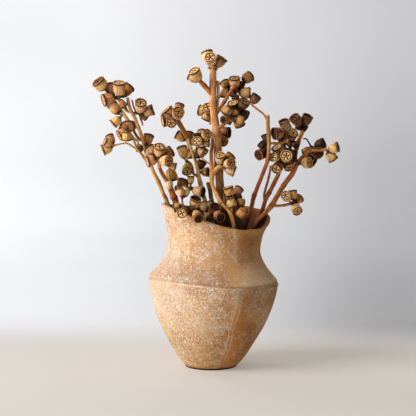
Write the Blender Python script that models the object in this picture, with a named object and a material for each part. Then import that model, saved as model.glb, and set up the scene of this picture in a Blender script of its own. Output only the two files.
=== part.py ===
# Stoneware vase holding a loose bunch of dried gum nut branches.
# Metres, +Z up.  The origin is the centre of the vase's flat foot.
# +X is to the right as the bunch is usually seen, -Y faces the viewer.
import math

import bpy
import bmesh
import numpy as np
from mathutils import Vector

for old in list(bpy.data.objects):
    bpy.data.objects.remove(old, do_unlink=True)

# ---------------------------------------------------------------- driving dimensions
# The bunch is laid out as it is seen from a standing viewer's eye: a place is given by its direction (u, v) on a
# viewing plane and by its depth y behind the vase's axis.
EYE_DIST = 2.10            # eye to vase axis, level distance
EYE_HEIGHT = 0.42          # eye above the table
EYE_X = -0.0040
EYE_PITCH = math.radians(5.755)
PLANE_F = 1617.8           # distance of the viewing plane, in its own units
PLANE_C = 208.0

FOOT_R = 0.0343            # radius of the vase's flat foot
FLOOR_T = 0.0085           # thickness of the vase's floor
WALL_T = 0.0052            # wall thickness of the vase's body
LIP_T = 0.0040             # wall thickness at the lip
VASE_SIDES = 30
RIM_R = 0.0716             # outer radius of the mouth
RIM_X = 0.0066
RIM_Z = 0.2022             # mean height of the mouth, which dips to the right and to the front
GAP = 0.00035              # clearance between touching pieces
NUT_SIDES = 6
STEM_SIDES = 5

# Outline of the vase: left and right edge of each level as seen, from the foot up to the neck
OUTLINE = [
    (185.2, 365.2, 236.9, 365.4),
    (180.6, 359.0, 242.0, 359.2),
    (176.4, 352.7, 246.9, 352.7),
    (167.7, 338.4, 256.2, 338.4),
    (160.6, 324.0, 264.4, 324.6),
    (155.3, 310.6, 270.4, 311.4),
    (151.6, 296.6, 275.0, 298.4),
    (149.4, 285.2, 277.4, 288.6),
    (149.0, 279.2, 278.1, 283.6),
    (150.6, 274.0, 276.6, 279.2),
    (158.2, 266.0, 270.1, 271.2),
    (164.6, 257.2, 264.2, 262.4),
    (167.4, 249.6, 261.2, 255.0),
    (168.2, 242.8, 260.4, 248.2),
    (167.2, 234.2, 262.0, 239.6),
]


def at(u, v, y):
    """The place seen in direction (u, v) at depth y behind the vase's axis."""
    up = Vector((0.0, math.sin(EYE_PITCH), math.cos(EYE_PITCH)))
    fwd = Vector((0.0, math.cos(EYE_PITCH), -math.sin(EYE_PITCH)))
    d = Vector((u - PLANE_C, 0.0, 0.0)) + up * (PLANE_C - v) + fwd * PLANE_F
    return Vector((EYE_X, -EYE_DIST, EYE_HEIGHT)) + d * ((y + EYE_DIST) / d.y)


RIGHT = Vector((1.0, 0.0, 0.0))
UP = Vector((0.0, math.sin(EYE_PITCH), math.cos(EYE_PITCH)))
NEAR = Vector((0.0, -math.cos(EYE_PITCH), math.sin(EYE_PITCH)))
PX = EYE_DIST / (PLANE_F * math.cos(EYE_PITCH))   # metres for one unit of the viewing plane at the vase's axis


# ---------------------------------------------------------------- stems: (u, v, depth mm, width) and, inside the vase,
# ("in", x, y, z, width) in millimetres
STEMS = {
    "stem_main": [(213, 68.4, 6, 7.2), (212.9, 80, 6, 7.2), (212.9, 92, 5, 7.0), (213.1, 103, 4, 6.6), (214, 114, 4, 7.2),
                  (215.6, 125, 3, 7.6), (217.0, 136, 2, 7.8), (217.7, 148, 2, 7.9), (218.3, 160, 2, 8.0),
                  (219.1, 172, 2, 8.0), (219.8, 184, 2, 8), (221, 196, 2, 8), (223, 209, 2, 8), (225, 224, 2, 8),
                  ("in", 20, 2, 155, 8), ("in", 14, 3, 85, 8), ("in", 5, 4, 14, 8)],
    "stem_left": [(127.7, 98.2, -6, 3.0), (129, 105, -6, 3.2), (131.5, 112, -6, 3.2), (134.8, 118, -6, 3.4),
                  (137, 124, -6, 3.4), (140.5, 133, -6, 3.6), (143, 141, -6, 3.6), (145.5, 150, -6, 3.8),
                  (148.3, 159, -5, 3.8), (151.5, 167.5, -4, 4), (154.5, 174, -3, 4), (157.5, 180, -1, 4.2),
                  (160.5, 187, 0, 4.4), (163.6, 195, 2, 4.4), (167.2, 203, 4, 4.5),
                  ("in", -42, 8, 155, 4.4), ("in", -27, 11, 80, 4.4), ("in", -13, 12, 13, 4.4)],
    "stem_left_thick": [(159, 162.6, -14, 3.4), (160, 169, -14, 3.6), (163.5, 176, -14, 3.8), (167.5, 182, -14, 4.4),
                        (170, 187, -14, 5.6), (171.5, 191, -14, 6), (173.5, 197, -15, 6), (176, 203, -16, 5.8),
                        ("in", -28, -16, 155, 5.4), ("in", -21, -12, 80, 5.4), ("in", -16, -8, 13, 5.4)],
    "stem_green": [(184.5, 130.5, -2, 3.4), (186, 135, -2, 3.4), (188.5, 141, -2, 3.4), (190.5, 147, -2, 3.4),
                   (193, 153, -2, 3.5), (195, 160, -3, 3.7), (197, 168, -4, 4.0), (199, 178, -5, 4.4),
                   (200.5, 184, -6, 4.5), (203, 195, -8, 4.5), (205.5, 206, -11, 4.5),
                   ("in", -3, -14, 155, 4.4), ("in", -4, -14, 80, 4.4), ("in", -4, -14, 13, 4.4)],
    "stem_olive": [(207.8, 182.5, -6, 3.8), (210, 190, -8, 4), (211, 197, -10, 4), (212.5, 204, -14, 4),
                   (214.5, 222, -22, 4), ("in", 8, -27, 155, 4), ("in", 9, -25, 80, 4), ("in", 9, -20, 13, 4)],
    "stem_front": [(212.4, 138, 9, 3.2), (212, 146, 7, 3.4), (211.3, 152, 3, 3.6), (211.4, 160, -2, 3.8), (211.6, 168, -8, 3.8),
                   (211.2, 174, -12, 4), (211.5, 180, -16, 4), (213, 187, -20, 4), (216.5, 194, -26, 3.9),
                   (220, 201, -32, 3.9), (224.5, 206.5, -38, 3.9), (228, 210, -42, 4), (230.8, 214, -45, 4.2),
                   (232.3, 219, -47, 4.2), (233.3, 224, -48, 4.3), (234.2, 229, -48, 4.3),
                   ("in", 35, -37, 155, 4.2), ("in", 31, -32, 80, 4.2), ("in", 20, -17, 13, 4.2)],
    "stem_low": [(190.5, 213.5, -47, 3.2), (194, 222, -43, 3.2), ("in", -17, -36, 155, 3.2), ("in", -15, -33, 80, 3.2),
                 ("in", -10, -23, 13, 3.2)],
    "stem_right_front": [(267.8, 115.3, 2, 4), (267.9, 125, 2, 3.9), (268.5, 133, 2, 4.4), (269, 143, 1, 3.8),
                         (268.8, 150, 0, 3.8), (268.3, 156, -1, 3.8), (266.9, 163, -2, 3.9), (263.8, 171, -4, 3.9),
                         (260.3, 180, -6, 3.9), (256.3, 190, -9, 3.9), (253.4, 198.4, -12, 4.2), (252.3, 204, -14, 4.2),
                         (250, 213, -17, 4.2), (247, 220.6, -19, 4.3), (244.5, 228.5, -20, 4.3),
                         ("in", 39, -20, 155, 4.3), ("in", 27, -14, 80, 4.3), ("in", 17, -3, 13, 4.3)],
    "stem_right_back": [(279.4, 171.6, 8, 3.8), (277.8, 175.6, 8, 4.2), (276, 179, 9, 4.4), (274.3, 182.6, 10, 4.6), (271.8, 187.6, 12, 4.2),
                        (269.3, 192.4, 14, 4.2), (267, 196.8, 16, 4.2), (265, 201, 18, 4.2), (263.6, 206, 19, 4.2),
                        (262, 210.5, 20, 4.2), (259.4, 217, 21, 4.2), ("in", 47, 18, 163, 4.2), ("in", 34, 18, 80, 4.2),
                        ("in", 17, 14, 13, 4.2)],
    "stem_right_red": [(311.2, 148.2, 0, 3.8), (309.5, 149.7, 0, 4.4), (306, 153.5, 0, 4.5), (303, 157.5, 0, 4.5),
                       (299.5, 161, 0, 4.5), (297, 164.4, 0, 4.6), (295, 168.4, 0, 4.8), (292.4, 173.8, 1, 5),
                       (289.3, 178, 2, 4.9), (285.3, 183, 3, 4.8), (281.6, 188.5, 4, 4.7), (278.8, 193.4, 5, 4.7),
                       (276, 198.2, 6, 4.7), (273.3, 203, 7, 5.2), (270, 207.6, 9, 4.9), (266.3, 211.8, 10, 4.9),
                       (262.4, 216.4, 8, 4.9), (257.6, 222.2, 7, 4.9), (253.6, 228, 6, 4.9),
                       ("in", 32, 8, 152, 4.9), ("in", 5, 17, 80, 4.9), ("in", -2, 21, 14, 4.9)],
}
# how far each stem leans back (+) or towards the viewer (-) on its way up, mm at a full height above the mouth
LEAN = {"stem_left": -50, "stem_left_thick": -44, "stem_green": 30, "stem_right_front": -38, "twig_bridge": -38,
        "stem_right_back": 48, "twig_right": 48, "stem_right_red": 54, "branch_right_top": 54}
LEAN_FROM, LEAN_RUN = 208.0, 110.0
# branches that leave another stem: the last place is on that stem
BRANCHES = {
    "branch_right_top": ("stem_right_red", [(302.7, 131.2, 8, 4.6), (301.2, 135, 8, 4.4), (299.4, 139, 8, 4.2),
                                            (298.2, 143, 8, 4.4), (297, 147.5, 7, 4.6), (295.6, 151.8, 7, 4.4),
                                            (295.4, 156, 6, 3.8), (296, 160.4, 4, 3.2), (296.7, 164.4, 0, 3)]),
    "branch_pale": ("stem_main", [(218, 81.6, 9, 3.4), (218.2, 88, 8, 2.8), (218.3, 95, 6, 2.8), (217.8, 103, 5, 2.6),
                                  (217.2, 108.6, 4, 2.6), (215.6, 114.0, 4, 2.4)]),
    "twig_bridge": ("stem_right_front", [(250.8, 103.8, 2, 2.0), (253.4, 106.2, 2, 2.0), (257.8, 109.6, 2, 2.0),
                                         (261.8, 112.6, 2, 2.0), (264.6, 115.6, 2, 2.0), (266, 118.4, 2, 2),
                                         (267.8, 121.5, 2, 2)]),
    "twig_right": ("stem_right_back", [(270.6, 165.8, 3, 2.2), (269.9, 172, 5, 2.3), (268.5, 178, 7, 2.4), (267, 184, 9, 2.5),
                                       (265.2, 190, 12, 2.6), (264.3, 195, 15, 2.8), (264.6, 201.5, 18, 2.8)]),
}

# ---------------------------------------------------------------- the nut clusters.  Each is one grown piece: a stalk, its
# side twigs and its nuts.  depth: starting depth in mm, from the stem's; joins: the stem it grows from.
# twigs: (u, v, depth offset mm, width); the last place of the first twig is on the stem.
# hubs: (u, v, depth offset mm, radius).  nuts: (hub number, mouth u, v, base u, v, width, turn to the viewer -1..1)
CLUSTERS = {
    "nuts_left_top": dict(depth=-8, joins="stem_left", hubs=[(117.3, 98, 0, 2.2)],
        twigs=[[(117.3, 98, 0, 2.6), (121, 103, 0, 2.2), (124.2, 108.6, 0, 2.2), (127.4, 111.4, 0, 2.2), (131.5, 112.4, 0, 2.2)],
               [(121, 99.6, 1, 1.8), (124, 104.2, 2, 2.5), (126.2, 108.4, 2, 2.2), (127.3, 111.2, 1, 1.7)]],
        nuts=[(0, 97.4, 80.6, 104.4, 89, 13.8, 0.42), (0, 109.5, 84.5, 113, 96, 12, -0.3), (0, 119.3, 82, 118.5, 95.5, 12.4, 0.4),
              (0, 129.5, 86.5, 121, 97, 13, -0.35), (0, 102.8, 100.7, 115, 97, 13, 0.3), (0, 125.8, 93.4, 120.2, 93.2, 7.6, -0.3), (0, 124.6, 106.6, 119.8, 99.6, 7.6, -0.3)]),
    "nuts_left_small": dict(depth=14, joins="stem_left", hubs=[(122, 114.6, 0, 1.6)],
        twigs=[[(115, 102, 0, 2.6), (121, 110.5, 0, 3.6), (126.4, 118, 0, 3.6), (132, 128, 0, 3.0), (135.6, 134.4, 0, 2.8),
                (138.6, 138.6, 0, 2.8), (143.2, 141.4, 0, 2.8)]],
        nuts=[(0, 111.8, 104.2, 119.4, 114.4, 11, -0.25), (0, 112.4, 124.4, 120.4, 117.4, 10.6, 0.05)]),
    "nuts_left_low": dict(depth=-20, joins="stem_left", hubs=[(128, 131, 0, 2.0), (112.8, 145.6, 0, 2.1), (137.4, 147.6, 2, 1.8), (126.4, 133.6, -11, 1.8)],
        twigs=[[(128, 131, 0, 2.4), (132, 137, 0, 2.4), (134.6, 143, 0, 2.4), (136.8, 148, 0, 2.4), (141, 153.6, 0, 2.6),
                (144.5, 158.4, 0, 2.8), (150.8, 165.6, 0, 2.8)],
               [(112.3, 145.6, 0, 1.9), (116, 145, 0, 1.7), (120, 144, 0, 1.7), (124, 143.2, 0, 1.7), (128, 143.7, 0, 1.7),
                (132, 146.2, 0, 1.8), (136.6, 149, 0, 2.0)],
               [(129, 131, 2, 1.9), (134, 138, 2, 1.8), (138, 142, 3, 1.8), (137.4, 147.6, 2, 1.8)],
               [(128, 131, 0, 2.4), (127.2, 132.3, -5.5, 2.2), (126.4, 133.6, -11, 2.2)]],
        nuts=[(0, 127.2, 121.8, 128.5, 131, 12, -0.2), (0, 119, 127, 127, 130, 11, 0.05), (0, 118.5, 136, 126, 132, 11, 0.25),
              (3, 127.4, 140.2, 126.8, 134, 10.2, -0.3), (1, 109, 135.5, 113, 145, 9, -0.35), (1, 104.3, 141, 112, 144, 8.5, 0.35),
              (1, 102.3, 150.3, 112, 146.5, 11.5, 0.1), (2, 141.5, 146.8, 137.2, 151, 8, -0.4),
              (2, 149.2, 135, 146.4, 145.8, 10.6, -0.3), (0, 134.2, 122.8, 130.8, 131.2, 8.5, -0.3)]),
    "nuts_left_mid": dict(depth=8, joins="stem_left", hubs=[(139.6, 113.6, 0, 1.9)],
        twigs=[[(139.6, 113.6, 0, 2.4), (136, 113.4, 0, 2.4), (131.9, 112.7, 0, 2.4)],
               [(139.6, 113.6, 0, 2.0), (140.2, 117.5, 0, 1.9), (142, 122, 0, 1.8), (142.8, 125.6, 0, 1.5)],
               [(131.9, 99.6, 3, 1.5), (133.6, 106.6, 2, 1.6), (136.2, 113.2, 0, 1.8)]],
        nuts=[(0, 140.8, 101.7, 139.2, 112.6, 11.8, 0.7), (0, 153.4, 109.5, 142.4, 113, 12, 0.05), (0, 147, 116.4, 141, 113.2, 9.8, -0.45)]),
    "nuts_left_front": dict(depth=-24, joins="stem_left_thick", hubs=[(158, 157.6, 0, 2.8)],
        twigs=[[(158, 157.6, 0, 4.2), (158.7, 161.6, 0, 3.8), (159.6, 167.0, 0, 3.4)]],
        nuts=[(0, 159.8, 145.8, 158.5, 156.3, 12.2, 0.55), (0, 148.5, 147.5, 156, 156.5, 11, -0.35),
              (0, 171.6, 150.8, 162, 157, 11.6, -0.3), (0, 146.6, 161.8, 157, 159, 12, 0.25), (0, 169.8, 161, 160, 160, 11.5, 0.6),
              (0, 176.2, 166.8, 169.4, 165, 7.6, 0.05)]),
    "nuts_left_inner": dict(depth=-4, joins="stem_green", hubs=[(170, 168.2, 0, 1.6), (190.4, 188.2, 0, 2.6), (181.4, 187.6, -4, 2.0)],
        twigs=[[(190.4, 188.2, 0, 3.2), (195.5, 188.6, 0, 3.0), (201.6, 188.4, 0, 2.8)],
               [(168, 166.4, 0, 1.9), (170.8, 167.8, -1, 2.2), (174.6, 171.4, -6, 2.0), (177, 177, -8, 2.0), (178.6, 181.6, -6, 2.0),
                (180.8, 187.4, -1, 2.4), (185.6, 189.4, 0, 2.4), (190.4, 188.2, 0, 2.8)]],
        nuts=[(0, 172.2, 180.8, 169.4, 168.8, 12.4, -0.2), (2, 176.4, 188.4, 180, 187.6, 6.4, -0.6),
              (1, 190.8, 175.8, 190.5, 187, 7.4, 0.05), (2, 184.2, 180, 181.6, 187.2, 11.6, -0.3),
              (1, 203.5, 192, 192.5, 190.4, 11, 0.4)]),
    "nuts_upper_left": dict(depth=-8, joins="stem_green", hubs=[(175.8, 118.4, 0, 2.8)],
        twigs=[[(175.8, 118.4, 0, 4.2), (177.6, 120.6, 0, 4.4), (180.4, 125.4, 0, 4.8), (183.4, 130.6, 0, 5.2), (187.4, 138.6, 0, 4.4)]],
        nuts=[(0, 166, 109.3, 173, 117.4, 13.5, 0.2), (0, 162, 121, 172, 119, 13.5, 0.2), (0, 170.6, 123.4, 174.6, 120, 10.5, 0.84),
              (0, 179, 111, 175.8, 117.6, 12, 0.8), (0, 180, 104.4, 177.6, 114, 10, -0.35)]),
    "nuts_left_back": dict(depth=12, joins="stem_green", hubs=[(187.8, 141.4, 0, 1.8)],
        twigs=[[(187.8, 141.4, 0, 2.6), (188.4, 142.6, 0, 2.6), (189.5, 144.5, 0, 2.6)]],
        nuts=[(0, 176.3, 134, 186, 140, 10, -0.1), (0, 189.8, 132.2, 188.2, 140.6, 8.4, -0.35), (0, 190, 158.5, 188.8, 147, 7, 0.1)]),
    "nuts_centre_left": dict(depth=-10, joins="stem_green", hubs=[(186.4, 160.8, 0, 1.9)],
        twigs=[[(186.4, 160.8, 0, 2.4), (190.4, 163.2, 0, 2.4), (192.6, 168.4, 0, 2.5), (193.4, 173.4, 0, 2.5), (198.9, 177.5, 0, 2.5)]],
        nuts=[(0, 181.5, 146.8, 184.8, 159.5, 11, -0.25), (0, 187.2, 172.3, 187, 162, 10.5, 0.7)]),
    "nuts_centre_small": dict(depth=4, joins="stem_green", hubs=[(199, 171.8, 0, 1.8)],
        twigs=[[(199, 171.8, 0, 2.6), (198.6, 172.2, 0, 2.6), (197.7, 172.6, 0, 2.6)]],
        nuts=[(0, 202.4, 161.6, 198.4, 169.4, 9.8, -0.3), (0, 208.6, 172, 200.4, 172.2, 9.8, 0.28)]),
    "nuts_centre_top": dict(depth=-14, joins="stem_green", hubs=[(198.4, 141.8, 0, 2.2), (198.0, 148.6, 0, 1.8)],
        twigs=[[(198.4, 141.8, 0, 2.4), (196.9, 146.2, 0, 2.2), (196.2, 149.2, 0, 2.2), (191.8, 150.4, 0, 2.2)],
               [(196.6, 147.2, 0, 2.0), (198.0, 148.6, 0, 2.4)],
               [(199.4, 149.6, 3, 2.0), (202, 157.6, 4, 1.4), (205.6, 161.0, 4, 1.3), (209.6, 164.0, 3, 1.3)]],
        nuts=[(0, 196.8, 140.8, 198, 143, 10.4, 0.9), (0, 191.4, 141, 196.8, 142.4, 8.4, -0.4), (0, 196.6, 133.6, 198, 139.8, 7.6, 0.3),
              (0, 202.6, 131, 201.6, 139.2, 10.4, -0.45), (0, 208.4, 132.8, 203.6, 138.4, 10, 0.72), (0, 209.5, 142.8, 200.4, 142.3, 9.8, -0.1),
              (1, 204.8, 154, 199, 148, 10.6, 0.3), (1, 197.4, 156.4, 198.2, 150.4, 8.4, -0.6)]),
    "nuts_crown": dict(depth=0, joins="stem_main", hubs=[(213, 64.6, 0, 2.7)],
        twigs=[[(213, 62.6, 0, 4.6), (213, 67.6, 0, 6.6)]],
        nuts=[(0, 210.3, 56.6, 211.8, 64.6, 11.8, 0.88), (0, 206.9, 51.6, 210.4, 64.2, 12.5, -0.25), (0, 222.6, 57.4, 216.2, 66.8, 12.6, 0.18)]),
    "nuts_top_left": dict(depth=-4, joins="stem_main", hubs=[(200.6, 81.8, 0, 2.0)],
        twigs=[[(200.6, 81.8, 0, 4.6), (204.4, 85.8, 0, 4.8), (208, 89.8, 0, 5.0), (213.0, 96.0, 0, 5.0)]],
        nuts=[(0, 193.8, 70, 199.6, 80.4, 12, 0.5), (0, 189.6, 75.2, 199.4, 81.4, 10, -0.3)]),
    "nuts_right_top": dict(depth=2, joins="stem_main", hubs=[(236.4, 90.4, 0, 2.4), (229.6, 89.4, 4, 1.6)],
        twigs=[[(236.4, 90.4, 0, 2.6), (235.2, 86.6, -11, 2.4), (232, 89.6, -14, 2.4), (229, 94, -16, 2.4), (225.6, 99.8, -15, 3.2),
                (222.2, 104.8, -12, 3.4), (219.4, 109.8, -8, 3.0), (214.3, 117.0, 0, 2.4)],
               [(236.4, 90.4, 0, 2.0), (229.6, 89.4, 4, 2.0)]],
        nuts=[(0, 234.6, 77.4, 234.9, 88, 11.8, 0.42), (0, 250.4, 76.0, 242.8, 81.2, 11.8, -0.45), (0, 241.8, 83, 238.8, 90, 8, -0.35),
              (0, 249.8, 92.6, 238.4, 92.6, 11, -0.2), (0, 257.2, 95.6, 251.6, 103.2, 11, 0.28), (1, 224.4, 82, 227.8, 88.6, 10.8, -0.45),
              (1, 223.6, 98, 226, 87.4, 11, -0.1), (0, 231.8, 96.2, 235.2, 91.6, 8, -0.4)]),
    "nuts_right_inner": dict(depth=-6, joins="stem_main", hubs=[(232.2, 118.4, -3, 4.0), (238.6, 108.4, 6, 3.6)],
        twigs=[[(232.3, 118.5, 0, 4.2), (228.4, 119.4, 0, 3.8), (225.4, 122.2, 0, 3.8), (222, 125.8, 0, 4.0), (216.1, 129.0, 0, 4.2)],
               [(232.3, 118.5, 0, 3.0), (236, 113, 3, 2.8), (238.6, 108.4, 6, 2.6)]],
        nuts=[(1, 245.6, 100.8, 241.2, 108.6, 12, 0.48), (1, 232.4, 102.4, 233.8, 109.4, 11.4, 0.52), (0, 224.8, 113.4, 229.6, 107.6, 11.6, -0.4),
              (0, 236.2, 110.4, 232.8, 117, 8.6, -0.3), (1, 247, 116.2, 240, 112.4, 11.4, 0.32), (0, 240.4, 125.8, 237.4, 119.2, 11.6, -0.4),
              (0, 243, 121.6, 236, 118.6, 9.6, -0.3), (0, 223.4, 120, 228.4, 118.4, 8.6, 0.85), (0, 227.8, 122.6, 230.6, 118.6, 7.4, -0.5),
              (1, 235, 96, 237.4, 104.6, 8.4, 0.32)]),
    "nuts_right_stem": dict(depth=10, joins="stem_main", hubs=[(219.4, 135.4, 0, 2.4)],
        twigs=[[(219.4, 135.4, 0, 3.4), (218.6, 135.2, 0, 3.4), (217.1, 135, 0, 3.4)]],
        nuts=[(0, 229.6, 132.8, 220.6, 132.2, 11.8, 0.35), (0, 223.8, 142, 219.8, 138, 10.6, 0.85)]),
    "nuts_left_stem": dict(depth=8, joins="stem_main", hubs=[(209.4, 113, 0, 2.4)],
        twigs=[[(209.4, 113, 0, 3.2), (211, 113.4, 0, 3.2), (213.9, 114, 0, 3.2)],
               [(209.4, 113, 0, 2.2), (209.6, 119, 0, 2.2), (210.2, 124.6, 0, 2.0)]],
        nuts=[(0, 199, 110, 207, 112, 11.4, -0.3), (0, 207.3, 106.4, 209, 111.6, 9.8, 0.88), (0, 205.4, 120.2, 208.4, 114, 10, -0.2)]),
    "nuts_front": dict(depth=-8, joins="stem_front", hubs=[(220.8, 166, 0, 2.8)],
        twigs=[[(220.8, 166, 0, 4.4), (218, 167.6, 0, 4.4), (215.2, 170.6, 0, 4.4), (213, 174.2, 0, 4.4), (211.9, 181, 0, 4.2)]],
        nuts=[(0, 220, 154.3, 220.6, 164, 10.4, 0.66), (0, 231.6, 155, 224.4, 163, 10.8, -0.25), (0, 231.8, 162.5, 224, 164.6, 10.2, 0.82),
              (0, 234.8, 171.7, 224.6, 168, 11.2, -0.1)]),
    "nuts_mouth_right": dict(depth=6, joins="stem_front", hubs=[(232.2, 199, 0, 2.8), (229.9, 200.8, -8, 1.8)],
        twigs=[[(232.2, 199, 2, 3.6), (233.6, 204, 8, 3.2), (233, 208.8, 7, 3.2), (230.6, 213.6, 0, 3.6)],
               [(232.2, 199, 0, 2.6), (231, 200, -4, 2.2), (229.9, 200.8, -8, 2.2)]],
        nuts=[(0, 227.8, 186.8, 230.8, 196.5, 10.5, 0.15), (0, 239.8, 188, 233.6, 197, 9.8, -0.35), (0, 223.8, 198.6, 230.5, 198, 10, 0.05),
              (1, 232.7, 207, 231, 200.6, 10.6, -0.12), (0, 243.2, 204, 235.6, 201.8, 9.8, -0.35), (0, 240.4, 197, 234.6, 199, 7, -0.5),
              (0, 244.8, 215.4, 236.8, 208.8, 11.4, -0.1)]),
    "nuts_right_outer_left": dict(depth=10, joins="stem_right_front", hubs=[(267.4, 148, 0, 3.0)],
        twigs=[[(267.6, 148, 0, 2.8), (268.0, 148, 0, 2.8), (268.9, 148, 0, 2.8)]],
        nuts=[(0, 263.6, 135, 266.4, 142, 6.4, -0.2), (0, 260.8, 142.8, 266, 148.6, 9.8, -0.25), (0, 258.4, 155.2, 266.2, 152, 11.3, 0.7),
              (0, 263.8, 156.4, 266.4, 149.6, 8, -0.4)]),
    "nuts_right_arch": dict(depth=14, joins="stem_right_front", hubs=[(283.8, 133, 0, 2.8), (281.4, 129.8, -8, 2.0)],
        twigs=[[(283.8, 133, 0, 2.8), (286.0, 138.6, 0, 3.2), (282.8, 142.2, 0, 3.4), (277.6, 143.2, 0, 2.6), (269.1, 143.4, 0, 2.6)],
                [(283.8, 133, 0, 2.4), (282.6, 131.4, -4, 2.2), (281.4, 129.8, -8, 2.2)]],
        nuts=[(0, 273.6, 133.7, 281.6, 132.2, 13.2, 0.42), (0, 283.4, 120.6, 286.4, 130, 11, 0.45), (1, 288.4, 127.2, 281.4, 129.2, 9.4, 0.78),
              (0, 279.8, 139.6, 282.6, 134.8, 8.4, -0.5), (0, 287.6, 137.6, 285, 134, 7.6, -0.4)]),
    "nuts_right_crown": dict(depth=4, joins="branch_right_top", hubs=[(302, 127.4, 0, 2.6)],
         twigs=[[(302, 127.4, 0, 4.0), (302.3, 129.0, 0, 4.4), (302.6, 130.2, 0, 4.4)]],
         nuts=[(0, 293.6, 116.9, 300.6, 125, 11.8, 0.5), (0, 308.3, 115.8, 303.8, 125, 11.6, 0.42), (0, 297, 125.6, 301, 127.6, 8, 0.3),
              (0, 306.2, 129.2, 303, 127, 8, -0.2), (0, 302.4, 120.6, 302.2, 127.4, 8.6, -0.5)]),
    "nuts_right_back": dict(depth=-4, joins="branch_right_top", hubs=[(292.6, 141, 0, 2.2)],
        twigs=[[(292.6, 141, 0, 2.8), (294.4, 142.0, 0, 2.8), (298.3, 142.6, 0, 2.8)]],
        nuts=[(0, 293.6, 132.4, 289.6, 138.6, 11.4, 0.74), (0, 287.8, 145.6, 291.8, 141.4, 9, -0.25), (0, 296.6, 146, 294.2, 142, 7.2, 0.7)]),
    "nuts_right_discs": dict(depth=-8, joins="stem_right_red", hubs=[(284.4, 159.4, 6, 4.2)],
        twigs=[[(284.4, 159.4, 6, 3.6), (289.4, 162.4, 6, 3.2), (293.2, 165.4, 5, 3.2), (295.6, 167.2, 0, 3.2)]],
        nuts=[(0, 276.6, 146.6, 281.4, 154.6, 12.4, 0.45), (0, 272.8, 157, 279.6, 157.8, 9.8, 0.86), (0, 286.3, 155.5, 286.4, 158.6, 12.2, 0.94),
              (0, 275.9, 169.6, 280.6, 163.8, 11, 0.74), (0, 289.6, 168, 286.2, 161.6, 10.6, 0.6), (0, 293, 160.6, 287.4, 160.2, 9, -0.4),
              (0, 281, 143.4, 283.6, 152, 9, -0.7), (0, 292.4, 152.6, 288, 157.4, 9.4, -0.6), (0, 279.6, 162.6, 283.4, 160.4, 8, -0.6), (0, 289, 148.6, 287.4, 156, 9.4, 0.2)]),
    "nuts_far_right": dict(depth=-4, joins="stem_right_red", hubs=[(326.6, 150, 0, 1.7)],
        twigs=[[(326.6, 150, 0, 2.9), (323, 149.9, 0, 2.7), (318, 150.3, 0, 2.7), (313.4, 150.3, 0, 2.7), (309.2, 150.1, 0, 2.8)]],
        nuts=[(0, 338.4, 146.6, 328.6, 149.3, 11, 0.28), (0, 333.6, 160, 327.6, 151.4, 10.8, -0.25)]),
    "nuts_right_dark": dict(depth=10, joins="stem_right_red", hubs=[(311.4, 147.8, 0, 2.6), (309.4, 154.8, 2, 1.8)],
        twigs=[[(311, 149, 0, 2.6), (310.4, 149.2, 0, 2.6), (309.6, 149.6, 0, 2.6)],
               [(311, 149, 0, 2.4), (309.4, 154.8, 2, 2.2)],
               [(311, 149, 0, 1.8), (310.4, 145.6, 1, 1.6), (308.4, 141.8, 2, 1.6), (306.2, 138.9, 3, 1.6), (303.2, 138.8, 4, 1.6)]],
        nuts=[(0, 324.2, 142.7, 314.6, 146.8, 11.4, 0.36), (0, 318.8, 153, 313.4, 150.6, 12.4, 0.88), (0, 304.8, 153.8, 309.6, 150.6, 11, -0.5),
              (1, 313.8, 162.8, 308.4, 158.6, 13.6, 0.36)]),
    "nuts_right_tan": dict(depth=-8, joins="stem_right_red", hubs=[(302.2, 163.6, 0, 1.5)],
        twigs=[[(302.2, 163.6, 0, 2.4), (300.4, 163.9, 0, 2.4), (297.2, 164.2, 0, 2.4)]],
        nuts=[(0, 310.4, 162.3, 302.4, 163.5, 11.6, 0.48)]),
    "nuts_low_right": dict(depth=0, joins="stem_right_red", hubs=[(292.4, 203.4, 0, 2.2)],
        twigs=[[(292.4, 203.4, 0, 3.0), (288, 204.3, 0, 2.9), (284, 205.3, 0, 2.7), (278, 205.8, 0, 2.7), (271.6, 205.4, 0, 3.0)]],
        nuts=[(0, 285.3, 194.9, 290.4, 201.6, 10.2, 0.85), (0, 292.1, 190.4, 293.4, 200.6, 10.2, -0.1), (0, 300, 198, 294.4, 202.2, 9.8, -0.6),
              (0, 298, 211.8, 294.2, 204.8, 10.8, 0.7)]),
    "nuts_mouth_front": dict(depth=-8, joins="stem_low", hubs=[(189.6, 208.6, 0, 2.4), (183, 206.0, -8, 1.8), (192.4, 208.4, -12, 1.8), (182.2, 198, -10, 1.6)],
        twigs=[[(189.6, 208.6, 0, 3.2), (190.0, 210.6, 0, 3.2), (190.6, 213.0, 0, 3.2)],
               [(189.6, 208.6, 0, 2.4), (183, 206.0, -8, 2.2)],
               [(189.6, 208.6, 0, 2.4), (192.4, 208.4, -12, 2.2)],
                [(183, 206, -8, 2.0), (182.3, 202, -9, 1.8), (182.2, 198, -10, 1.8)]],
        nuts=[(1, 174, 208, 182, 206.2, 10, -0.15), (0, 181.6, 213.8, 187, 208.6, 10.5, 0.86), (2, 199, 218.8, 193.8, 210.4, 10.8, 0.76),
              (0, 196, 198, 193.4, 207.6, 11, 0.53), (3, 179.6, 188.8, 181.8, 196.8, 7.6, -0.3), (3, 186.2, 188, 183, 197, 9.8, -0.35)]),
    "nuts_mouth_centre": dict(depth=-18, joins="stem_olive", hubs=[(211.6, 211.4, 0, 2.6)],
        twigs=[[(211.6, 211.4, 0, 3.2), (212.4, 213.4, 0, 3.0), (214.0, 217.6, 0, 3.0)]],
        nuts=[(0, 203.6, 205.4, 209, 210, 11, -0.85), (0, 210, 201.6, 211, 208, 7.4, -0.4), (0, 215.4, 207, 213.4, 210.8, 11.4, 0.82),
              (0, 211, 219, 210.4, 212.4, 10.2, 0.5), (0, 220.8, 217.8, 215.6, 213.4, 10.4, 0.78)]),
}


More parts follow.
